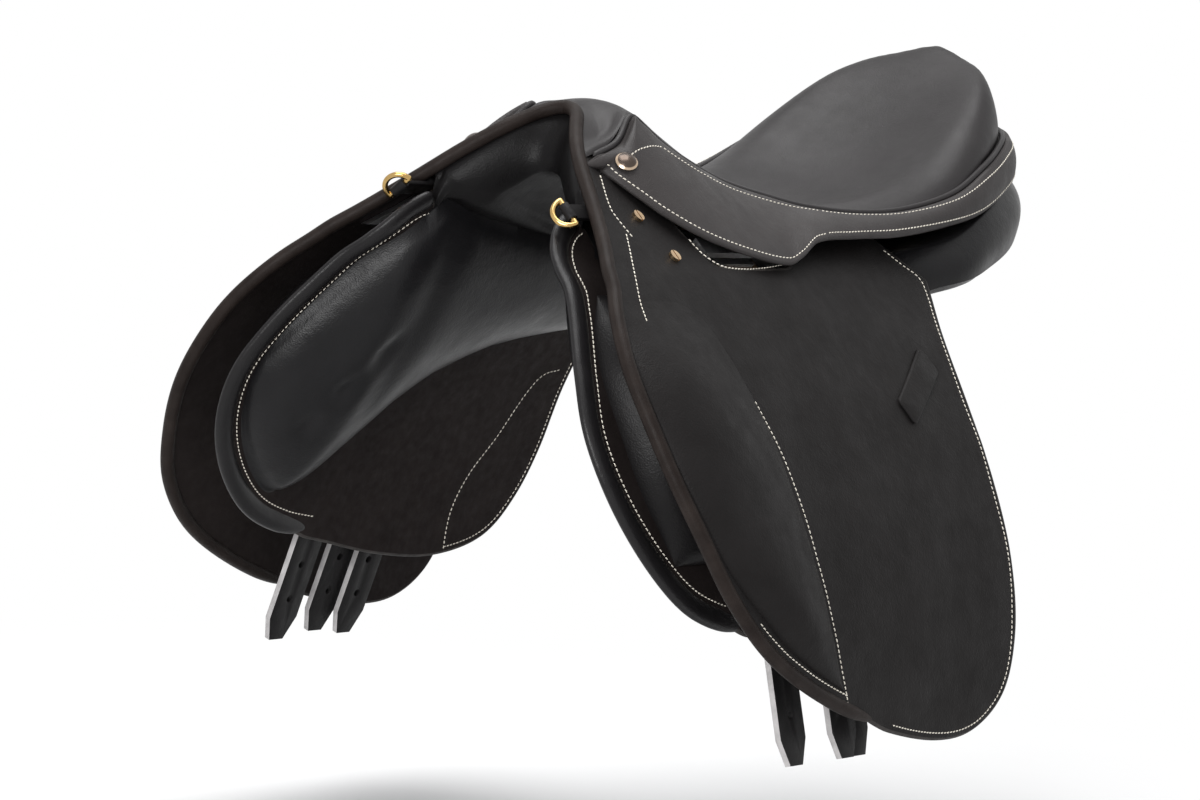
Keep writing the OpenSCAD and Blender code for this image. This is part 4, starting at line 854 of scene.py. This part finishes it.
lobe = [leather_strip(q) for q in steps(0.0, SKIRT_END, 84)]
lobe = [lerp(lobe[0], welt_at(46.5), k) for k in (0.85, 0.6, 0.3)] + lobe
lobe_rows = [skirt_row([(q, 1 - 4.6 / skirt_len(q)) for q in steps(0.002, 0.469, 96)]),
             skirt_row([(q, 6.5 / skirt_len(q)) for q in steps(0.15, 0.469, 90)]),
             skirt_row([(lerp(0.08, 0.15, k), lerp(0.62, 6.5 / skirt_len(0.15), k)) for k in steps(0, 1, 20)])]
for name, side in SIDES:
    fold = [metres(mirrored(fold_a + fold_down * far, side)) for far in (-FOLD_BEFORE, FOLD_PAST)]
    skin = loft("skirt_skin_" + name, mirrored(lobe, side), SKIRTS, 55.0)
    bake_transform(skin)
    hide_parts("skirt_" + name)
    sewn = stitches("skirt_stitch_" + name, lobe_rows, side)
    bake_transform(sewn)

half = [leather_strip(q) for q in steps(SKIRT_END, 1.0, 96)]
bridge = [lerp(half[-1], half[-1] * FLIP, k / 6) for k in range(1, 6)]
band = loft("band_skin", half + bridge + [r * FLIP for r in reversed(half)], SKIRTS, 55.0)
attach(band, "saddle")
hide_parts("skirt_band")
band_steps = steps(0.4712, 1.0, 110)
band_rows = [skirt_row([(q, 6.7 / skirt_len(q)) for q in band_steps]),
             skirt_row([(q, 1 - 5.0 / skirt_len(q)) for q in band_steps])]
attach(stitches("band_stitch", [(across(p), across(n)) for p, n in band_rows]), "saddle")

# ---- flaps

FLAP_ROWS = [round(z, 2) for z in (*np.arange(-176, 86, 7.0), *np.arange(86, 105, 1.6), *np.arange(105, 160, 6.0))]
TOP_START, TOP_TURN, TOP_LAST = 0.71, 1.92, 3.27


def flap_relief(y, z):
    p = FLAP.x(z), y, z
    return 0.55 * wave(p, 95.0, 4) + 0.18 * wave(p, 34.0, 9)


def top_back(t):
    """Where the upper edge of the flap lies: along the stirrup bar, and on to the rear."""
    if t < TOP_TURN:
        return bar_y + bar_l * (t - TOP_START)
    return lerp(bar_y + bar_l * (TOP_TURN - TOP_START), flap_front + flap_l, (t - TOP_TURN) / (TOP_LAST - TOP_TURN))


front_top = [(head_y(z) + 2.0, z) for z in steps(hinge_h + 74, hinge_h, 20)]
around = [FLAP.inset(s, flap_welt_r * ease((9.0 - s) / 0.7)) for s in steps(0.0, 18.0, 260)]
upper = [(top_back(t), hinge_h + head_rise * smooth(TOP_EDGE, t)[0]) for t in steps(TOP_LAST, 0.0, 90)]
flap_outline = front_top[:-1] + around + upper + [(head_y(160.0) + 14, 160.0), (head_y(169.0) + 13, 169.0)]

# padded knee roll, from the welt to its rear seam
KNEE_FRONT = np.array([FLAP.inset(s, 9.6) for s in steps(0.0, 8.7, 240)])[::-1]
KNEE_TOP, KNEE_LOW, KNEE_SUNK = 0.02, 0.893, -0.45


def knee_span(z):
    front = float(np.interp(z, KNEE_FRONT[:, 1], KNEE_FRONT[:, 0])) + 9.0 * ease((-50 - z) / 45)
    return front, float(smooth(KNEE_LINE, z)[0]) - 1.2


def knee_lift(y, z):
    a, b = knee_span(z)
    d = (hinge_h - z) / flap_drop
    u = (y - a) / max(1.0, b - a)
    if not (0 < u < 1 and KNEE_TOP < d < KNEE_LOW):
        return KNEE_SUNK
    ends = ease((d - KNEE_TOP) / 0.24) * ease((KNEE_LOW - d) / 0.22)
    swell = max(0.0, math.sin(math.pi * u ** 0.78)) ** 0.85
    return KNEE_SUNK + (knee_pad_t - KNEE_SUNK) * swell * ends * (1 + 0.035 * wave([0, y, z], 60.0, 21))


def knee_ring(d):
    """Section of the knee roll at a height."""
    z = hinge_h - flap_drop * d
    a, b = knee_span(z)
    ys = [lerp(a, b, u * u * (1.6 - 0.6 * u)) for u in steps(0, 1, 50)]
    return ([FLAP.point(y, z, flap_relief(y, z) + knee_lift(y, z)) for y in ys]
            + [FLAP.point(y, z, -1.8) for y in reversed(ys)])


def flap_row(corners, extra=0.0):
    """A sewn row on the flap: a smooth curve through its corners."""
    p = np.array(corners, float)
    d = lengths(p)
    curve = table(np.column_stack([d, p]))
    yz = [smooth(curve, t) for t in np.linspace(0, d[-1], max(2, int(d[-1] / 4)))]
    return ([FLAP.point(y, z, flap_relief(y, z) + max(0.0, knee_lift(y, z)) + extra) for y, z in yz],
            [FLAP.normal(z) for y, z in yz])


knee_rings = [knee_ring(d) for d in steps(KNEE_TOP, KNEE_LOW, 110)]
flap_rows = [flap_row([(-222, 30), (-214, -3), (-210, -34), (-205, -72), (-197, -113), (-186, -148)]),
             flap_row([FLAP.inset(s, 11.5) for s in steps(6.5, 8.2, 8)], 0.25),
             flap_row([(-241, 150), (-254, 131), (-254, 124), (-252, 115)]),
             flap_row([(-256, 118), (-264, 109), (-275, 96), (-285, 82), (-292, 71)]),
             flap_row([(-195, 117), (-193, 109), (-184, 102), (-168, 100), (-138, 101), (-100, 104)]),
             flap_row([FLAP.inset(s, 5.0) for s in steps(9.0, 17.6, 43)]
                      + [(30.4, 95.7), (20.2, 104.5), (11.0, 112.4)])]
for name, side in SIDES:
    body = "flap_%s_lifting" % name
    skin = hide_sheet("flap_skin_" + name, flap_outline, flap_t, FLAP.point, FLAP_ROWS, 2.4,
                      flap_relief, (FLAPS, EDGES, SUEDE), side)
    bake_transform(skin)
    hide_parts("flap_" + name, "flap_top_" + name)

    front = roll("front_welt_roll_" + name, mirrored(front_line, side), flap_welt_r, WELTS,
                 sides=18, ends=(0.0, 8.0), times=2, first=(side, 0.0, 0.0))
    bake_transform(front)
    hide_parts("flap_welt_" + name)
    if side > 0:
        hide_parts("pommel_welt")

    pad = loft("knee_pad_skin_" + name, mirrored(knee_rings, side), FLAPS, 60.0)
    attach(pad, body)
    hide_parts("knee_pad_" + name)

    sewn = stitches("flap_stitch_" + name, flap_rows, side)
    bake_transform(sewn)

    keeper = rounded_copy("keeper_tab_" + name, "keeper_" + name, 0.7, FLAPS)
    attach(keeper, body)

# ---- sweat flaps, piping, knee blocks

SWEAT_ROWS = np.arange(-140, 118, 7.0)
LEAD_END = 1.3
BLOCK_TOP, BLOCK_LOW, BLOCK_W = 0.06, 0.72, 52.0


def sweat_relief(y, z):
    return 0.5 * wave([SWEAT.x(z), y, z], 80.0, 31)


def shifted(line, depth):
    """A line of the sweat flap moved inwards from its front edge."""
    p = np.array(line, float)
    d = np.gradient(p, axis=0)
    d /= np.linalg.norm(d, axis=1)[:, None]
    return p + depth * np.stack([-d[:, 1], d[:, 0]], 1)


def lead_in(y, z):
    """The front of the sweat flap turns in towards the panel at its top, clear of the dee ring."""
    return 8.5 * ease((z - 80) / 32) * ease((-232 - y) / 25)


def sweat_at(y, z, out):
    return SWEAT.point(y, z, out - lead_in(y, z))


def sweat_row(cut, out, sign):
    """A sewn row on one of the faces of the sweat flap."""
    return [sweat_at(y, z, out) for y, z in cut], [sign * SWEAT.normal(z) for y, z in cut]


def block_ring(far):
    """Section of the knee block at a place between its ends."""
    d = lerp(BLOCK_TOP, BLOCK_LOW, far)
    z = hinge_h - sweat_drop * d
    y = sweat_front + sweat_l * smooth(BLOCK, d)[0] + piping_w + gap
    ends = max(0.0, 1 - abs(2 * far - 1) ** 2.2) ** 0.65
    us = cosine_steps(30)
    return ([sweat_at(y + BLOCK_W * u, z, 0.4 + knee_block_t * max(0.0, 1 - abs(2 * u - 1) ** 2.4) ** 0.7 * ends)
             for u in us] + [sweat_at(y + BLOCK_W * u, z, -0.6) for u in reversed(us)])


roll_top = table([[0, -263, 127.5], [1, -272, 124], [2, -280.5, 118], [3, -287.5, 109.5], [4, -293, 99.5],
                  [5, *SWEAT.inset(LEAD_END, piping_w / 2)]])
roll_lead = [smooth(roll_top, k) for k in steps(0, 4.9, 30)]
sweat_outline = [*roll_lead,
                 *(SWEAT.inset(s, piping_w / 2 * ease((8.8 - s) / 0.8)) for s in steps(LEAD_END, 20.6, 270)),
                 (-252.0, 108.0), (-256.0, 121.0)]
piping_cut = roll_lead + [SWEAT.inset(s, piping_w / 2) for s in steps(LEAD_END, 8.75, 126)]
piping_line = [sweat_at(y, z, -sweat_t / 2) for y, z in piping_cut]
block_rings = [block_ring(far) for far in cosine_steps(70)]
edge_cut = shifted(piping_cut, piping_w / 2 + 1.6)
patch = table([[0, -71, -127], [1, -70, -98], [2, -61, -72], [3, -45, -45], [4, -30, -5], [5, -10, 3]])
patch_cut = [smooth(patch, t) for t in steps(0, 5, 40)]
hem_cut = [SWEAT.inset(s, 5.0) for s in steps(11.15, 15.6, 50)]
sweat_rows = [sweat_row(edge_cut, 0.2, 1)] + [sweat_row(cut, -sweat_t, -1) for cut in (edge_cut, patch_cut, hem_cut)]

for name, side in SIDES:
    skin = hide_sheet("sweat_skin_" + name, sweat_outline, sweat_t, sweat_at, SWEAT_ROWS, 2.6,
                      sweat_relief, (SUEDE, EDGES), side)
    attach(skin, "saddle")
    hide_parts("sweat_flap_" + name)

    piping = roll("panel_piping_roll_" + name, mirrored(piping_line, side), piping_w / 2, PIPING,
                  sides=24, ends=(0.8, 5.5), times=6, thick=piping_r,
                  face=lambda p: mirrored(SWEAT.normal(p[2]), side))
    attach(piping, "saddle")
    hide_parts("panel_piping_" + name)

    block = loft("knee_block_skin_" + name, mirrored(block_rings, side), PADS, 60.0)
    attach(block, "saddle")
    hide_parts("knee_block_" + name)
    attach(stitches("sweat_stitch_" + name, sweat_rows, side), "saddle")

# ---- panels

BEND = 0.3
LAST_PLACE = 15
REAR_PART = (0.61, 0.975)
PANEL_CLEAR = sweat_t + 0.2
PANEL_PLACES = steps(0, LAST_PLACE, 300)
PANEL_BACK = [panel_y(p) for p in PANEL_PLACES]
# the cushion starts behind the sewn edge of the sweat flap
EDGE_LINE = roll_lead + [SWEAT.inset(s, piping_w / 2) for s in steps(LEAD_END, 9.4, 240)]
EDGE_CUT = shifted(EDGE_LINE, np.array([[piping_w / 2 + 3.6 + 4.0 * ease((z - 88) / 14)] for y, z in EDGE_LINE]))
EDGE_TIP = int(np.argmin(EDGE_CUT[:, 0]))
EDGE_UP, EDGE_DOWN = EDGE_CUT[:EDGE_TIP + 1][::-1], EDGE_CUT[EDGE_TIP:]
# how far the flocking stands above the lower seam: back, height
FLOCK_Y = [-257, -243, -229, -214, -198, -182, -166, -149, -132, -114, -96, -78, -59, -40, -20, 0, 20, 40]
FLOCK_Z = [0, 3, 9, 17, 22, 26, 27, 28, 28, 26, 24, 22, 20, 17, 12, 8, 3, 0]


def sweat_inside(z, depth):
    return SWEAT.x(z) - depth / SWEAT.normal(z)[0]


def panel_seam(p):
    r = smooth(PANEL, p)
    y, z = panel_y(p), hinge_h + head_rise * r[2]
    z = min(z, float(np.interp(y, EDGE_UP[:, 0], EDGE_UP[:, 1], right=math.inf)))
    inside = sweat_inside(z, PANEL_CLEAR + lead_in(y, z))
    return np.array([min(hinge_x * r[1], inside) if p > 4.5 else inside, z])


def front_outer(p, s):
    y, low_z = panel_y(p), hinge_h - sweat_drop * smooth(PANEL, p)[3]
    low_z += float(np.interp(y, FLOCK_Y, FLOCK_Z))
    low_z = max(low_z, float(np.interp(y, EDGE_DOWN[:, 0], EDGE_DOWN[:, 1], right=-math.inf)))
    seam = panel_seam(p)
    knee_z = min(90.0, lerp(seam[1], low_z, 0.12))
    if s < BEND:
        return lerp(seam, np.array([sweat_inside(knee_z, PANEL_CLEAR), knee_z]), s / BEND)
    down = lerp(knee_z, low_z, (s - BEND) / (1 - BEND))
    return np.array([sweat_inside(down, PANEL_CLEAR), down])


def rear_outer(q, s):
    r, e, m = smooth(PANEL_REAR, q), seat_edge(q), seat_mid(q)
    seam = np.array([38.0, min(m[2] - 30, e[2] - 10)])
    knee = np.array([e[0] + 20 * r[0], e[2] - 26.5])
    low = knee + np.array([20 * r[1], -38 * r[2]])
    if s < BEND:
        return lerp(seam, knee, s / BEND)
    k = (s - BEND) / (1 - BEND)
    return lerp(knee, low, k) + np.array([6.0 * math.sin(math.pi * max(0.0, k - 0.08) / 0.92), 0.0])


def tucks(y, s):
    """Three soft hollows in the flank of a panel, and short puckers that run in from its lower seam."""
    depth = 0.0
    for at, down, size in ((-284, 0.70, 3.6), (-275, 0.54, 4.2), (-261, 0.42, 3.6)):
        depth += size * math.exp(-((y - at) / 8) ** 2 - ((s - down) / 0.055) ** 2)
    for at, size, run in ((-258, 1.2, 0.26), (-217, 1.6, 0.28), (-188, 1.8, 0.3), (-146, 1.6, 0.34)):
        off = (y - at - 26 * (1 - s)) / 5.0
        reach = ease((s - 1 + run) / run) * ease((1.02 - s) / 0.06)
        depth += size * reach * (math.exp(-off * off) - 0.45 * math.exp(-((off - 1.7) / 1.3) ** 2))
    return -depth


def panel_ring(outer, y, swelling, creases):
    """Section of a panel: its outer line with the bend softened, and its swelling face. Also how far the puckers
    move each point."""
    outer = relax(np.array(outer), 3)
    n = len(outer)
    seam, low = outer[0], outer[-1]
    inward = unit([low[1] - seam[1], seam[0] - low[0]])
    ring, puckers = [np.array([o[0], y, o[1]]) for o in outer], []
    for k in range(n - 1, -1, -1):
        s = k / (n - 1)
        i = lerp(seam, low, 0.01 + 0.98 * s)
        fat = max(0.0, 1 - abs(2 * s - 1) ** 2.3) ** 0.58
        j = i + inward * (0.3 + swelling * fat)
        ring.append(np.array([j[0], y, j[1]]))
        puckers.append(np.array([inward[0], 0, inward[1]]) * (
            0.5 * fat * creases * wave([i[0], y, 0.7 * i[1]], 90.0, 57) + creases * tucks(y, s)))
    return ring, [np.zeros(3)] * n + puckers


ss = steps(0, 1, 34)
panel_rings = []
first_y = float(EDGE_CUT[EDGE_TIP, 0]) + 0.6
for k in steps(0, 1, 130):
    y = lerp(first_y, PANEL_BACK[-1], k ** 1.3)
    p = float(np.interp(y, PANEL_BACK, PANEL_PLACES))
    nose = min(1.0, (y - first_y + 0.8) / 46)
    panel_rings.append(panel_ring([front_outer(p, s) for s in ss], y,
                                  1.28 * panel_swell * math.sqrt(nose * (2 - nose)), ease(p / 3)))
for q in steps(*REAR_PART, 60):
    panel_rings.append(panel_ring([rear_outer(q, s) for s in ss], seat_mid(q)[1], panel_swell * 0.7, 0.7))
rings, puckers = (np.array(part) for part in zip(*panel_rings))
rings = relax(rings, 12) + puckers
for name, side in SIDES:
    skin = loft("panel_skin_" + name, mirrored(rings, side), PANELS, 50.0)
    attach(skin, "saddle")
    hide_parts("panel_" + name)

# ---- head lining

LEAN = math.atan(flap_slope)
SLOPE_X, SLOPE_Z = 0.666, 0.746  # the way that the flaps' slope looks
APEX_H = hinge_h + hinge_x / flap_slope
# bend of the arch, and the depth of its inner side: flap leather, steel plate, gap and wood
ARCH_R = 30 + 4.4 + 3.6 + 0.2 + 15.8
# rows of place, back, depth
LINING_OUT = table([
    [0, 3.5, 10.6], [1, 14, 10.6], [2, 26, 11], [3, 31, 15], [4, 35, 24.5], [5, 40, 28], [6, 68, 28], [7, 86, 29],
    [8, 105, 31], [9, 128, 33]])
LINING_IN = table([
    [0, 4, 12.8], [1, 8, 14.8], [2, 14, 18], [3, 20, 22.5], [4, 27, 28.5], [5, 38, 33.5], [6, 68, 34.5], [7, 86, 35],
    [8, 105, 36], [9, 128, 37]])
FIRST_ROW, GUSSET_ROW, LAST_ROW = 1.0, 5.0, 9
LINING_REACH = 1.45


def arch_point(depth, foot, a):
    top = APEX_H - depth / math.sin(LEAN)
    r = max(4.0, ARCH_R - depth)
    centre = top - r / math.sin(LEAN)
    f = 2 * abs(a)
    t = lerp(math.pi / 2, LEAN, min(1.0, f))
    p = np.array([r * math.cos(t), centre + r * math.sin(t)])
    if f > 1:
        p = lerp(p, np.array([(top - foot) * flap_slope, foot]), f - 1)
    return np.array([math.copysign(1, a) * p[0] if a else 0.0, p[1]])


def past_foot(a):
    return (abs(a) - 1) / (LINING_REACH - 1)


def lining_point(rows, k, a, out):
    """Point of the lining: over the arch, and past its foot down to the seam of the panel."""
    back, depth = smooth(rows, k)
    hand = math.copysign(1, a)
    p = arch_point(depth, 128 - 0.2 * max(0, back - 38), a if abs(a) < 1 else hand)
    point = np.array([p[0], head_y(p[1]) + back, p[1]])
    past = past_foot(a)
    if past <= 0:
        return point
    seam = panel_seam(float(np.interp(point[1], PANEL_BACK, PANEL_PLACES)))
    face = np.array([SLOPE_X * hand, 0, SLOPE_Z])
    target = np.array([(seam[0] + 2.5) * hand, point[1], seam[1] - 3.5]) + face * out
    return lerp(point, target, past) - face * 3.0 * math.sin(math.pi * past)


def lining_line(rows, a, out, under, back):
    """One line of the lining: a padded face from behind the welt, and on to its rear edge."""
    first, goal = (lining_point(rows, k, a, out) for k in (FIRST_ROW, GUSSET_ROW))
    hand = math.copysign(1, a)
    lean_x = SLOPE_X * min(1.0, abs(first[0]) / 25)
    start = welt_at(first[0]) + np.array([-hand * under * lean_x, back, -under * math.sqrt(1 - lean_x ** 2)])
    size = float(np.linalg.norm(goal - start))
    leave, arrive = size * np.array([-0.2 * hand * lean_x, -0.75, -0.75]), size * np.array([0, 0.9, 0])
    line = []
    for k in steps(0, 1, 36)[:-1]:
        if k < 0.25:
            foot = lerp(start, first, k / 0.25)
        else:
            foot = lining_point(rows, lerp(FIRST_ROW, GUSSET_ROW, (k - 0.25) / 0.75), a, out)
        line.append(lerp(hermite(start, goal, leave, arrive, k), foot, ease(past_foot(a))))
    return line + [lining_point(rows, k, a, out) for k in steps(GUSSET_ROW, LAST_ROW, 24)]


def lining_grid(rows, out, under, back):
    places = steps(-LINING_REACH, LINING_REACH, 116)
    return relax(np.array([lining_line(rows, a, out, under, back) for a in places]), 3)


lining_faces = lining_grid(LINING_OUT, 2.4, 1.0, 3.4), lining_grid(LINING_IN, 0.0, 3.4, 1.6)
lining = loft("head_lining_skin", sheet_rings(*lining_faces), LINING, 50.0)
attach(lining, "saddle")
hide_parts("head_lining")

# lining of the channel between the panels: rows of place, rise
CHANNEL_RISE = table([[10.5, 49], [11, 43], [12, 27], [13, 12], [14, 9], [15, 8]])


def channel_row(seam, y, rise, up):
    return [np.array([(seam[0] + 2.0) * k, y, seam[1] + 0.8 + rise * (1 - k * k) + up]) for k in steps(-1, 1, 40)]


def channel_grid(up):
    grid = [channel_row(front_outer(p, 0), panel_y(p), smooth(CHANNEL_RISE, p)[0], up)
            for p in steps(10.5, LAST_PLACE, 40)]
    grid += [channel_row(rear_outer(q, 0), seat_mid(q)[1], 8.0, up) for q in steps(*REAR_PART, 40)]
    return relax(np.array(grid), 4)


channel = loft("channel_lining_skin", sheet_rings(channel_grid(2.0), channel_grid(0.0)), LINING, 50.0)
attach(channel, "saddle")
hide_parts("channel_lining")

# ---- straps, tabs

for name, side in SIDES:
    strap_face = Vector((0.95652 * side, 0.0, 0.291666))
    for place in ("front", "middle", "rear"):
        strap = rounded_copy("billet_strap_%s_%s" % (name, place), "billet_%s_%s" % (name, place), 0.6, STRAPS,
                             (RAW_EDGES, strap_face))
        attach(strap, "billet_%s_%s_swinging" % (name, place))
    tab = rounded_copy("dee_tab_loop_" + name, "dee_tab_" + name, 0.5, STRAPS)
    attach(tab, "saddle")

# ---- studio

FLOOR_HALF, FLOOR_H = 9, -0.30
WHITE = (1.0, 1.0, 1.0, 1.0)
# rays that see the plain white backdrop
SEEN_BY = ("Is Camera Ray", "Is Glossy Ray", "Is Transmission Ray")

floor_mesh = bpy.data.meshes.new("floor")
floor_mesh.from_pydata([(-FLOOR_HALF, -FLOOR_HALF, FLOOR_H), (FLOOR_HALF, -FLOOR_HALF, FLOOR_H),
                        (FLOOR_HALF, FLOOR_HALF, FLOOR_H), (-FLOOR_HALF, FLOOR_HALF, FLOOR_H)], [], [(0, 1, 2, 3)])
floor = bpy.data.objects.new("floor", floor_mesh)
scene.collection.objects.link(floor)
# paper round the object, which keeps its shadow, and a white backdrop further off
paper = Surface("floor_paper")
floor_mesh.materials.append(paper.finished(
    Base_Color=paper.ramp(paper.noise(3.0), (0.3, (0.90, 0.90, 0.90)), (0.7, (0.94, 0.94, 0.94))), Roughness=0.95,
    Specular_IOR_Level=0.0))
away = paper.add("VectorMath", {0: paper.place}, operation="LENGTH").outputs["Value"]
far_off = paper.add("MapRange", {"Value": away, "From Min": 0.33, "From Max": 0.85},
                    interpolation_type="SMOOTHSTEP").outputs["Result"]
rays = paper.add("LightPath", {}).outputs
seen = paper.largest([paper.add("Math", {0: rays[ray], 1: far_off}, operation="MULTIPLY").outputs[0]
                      for ray in SEEN_BY])
backdrop = paper.add("Emission", {"Color": WHITE, "Strength": 1.0}).outputs[0]
mixed = paper.add("MixShader", {0: seen, 1: paper.shader.outputs[0], 2: backdrop}).outputs[0]
paper.fill(paper.tree.nodes["Material Output"], {"Surface": mixed})

scene.world = bpy.data.worlds.new("studio")
sky = Nodes(scene.world)
sky.tree.nodes.clear()
rays = sky.add("LightPath", {}).outputs
ambient = sky.add("Background", {"Color": (0.97, 0.98, 1.0, 1.0), "Strength": 0.4}).outputs[0]
white = sky.add("Background", {"Color": WHITE, "Strength": 1.0}).outputs[0]
mixed = sky.add("MixShader", {0: sky.largest([rays[ray] for ray in SEEN_BY]), 1: ambient, 2: white}).outputs[0]
sky.add("OutputWorld", {"Surface": mixed})


def softbox(name, place, aim, size, power):
    data = bpy.data.lights.new(name, "AREA")
    data.shape = "RECTANGLE"
    data.size, data.size_y = size
    data.energy = power
    lamp = bpy.data.objects.new(name, data)
    scene.collection.objects.link(lamp)
    lamp.location = place
    lamp.rotation_euler = (Vector(aim) - Vector(place)).to_track_quat("-Z", "Y").to_euler()


softbox("top", (-0.2, -0.2, 2.2), (0.0, 0.0, 0.1), (2.0, 1.6), 56)
softbox("key", (0.9, -2.5, 0.75), (0.0, -0.15, 0.05), (1.1, 1.1), 50)
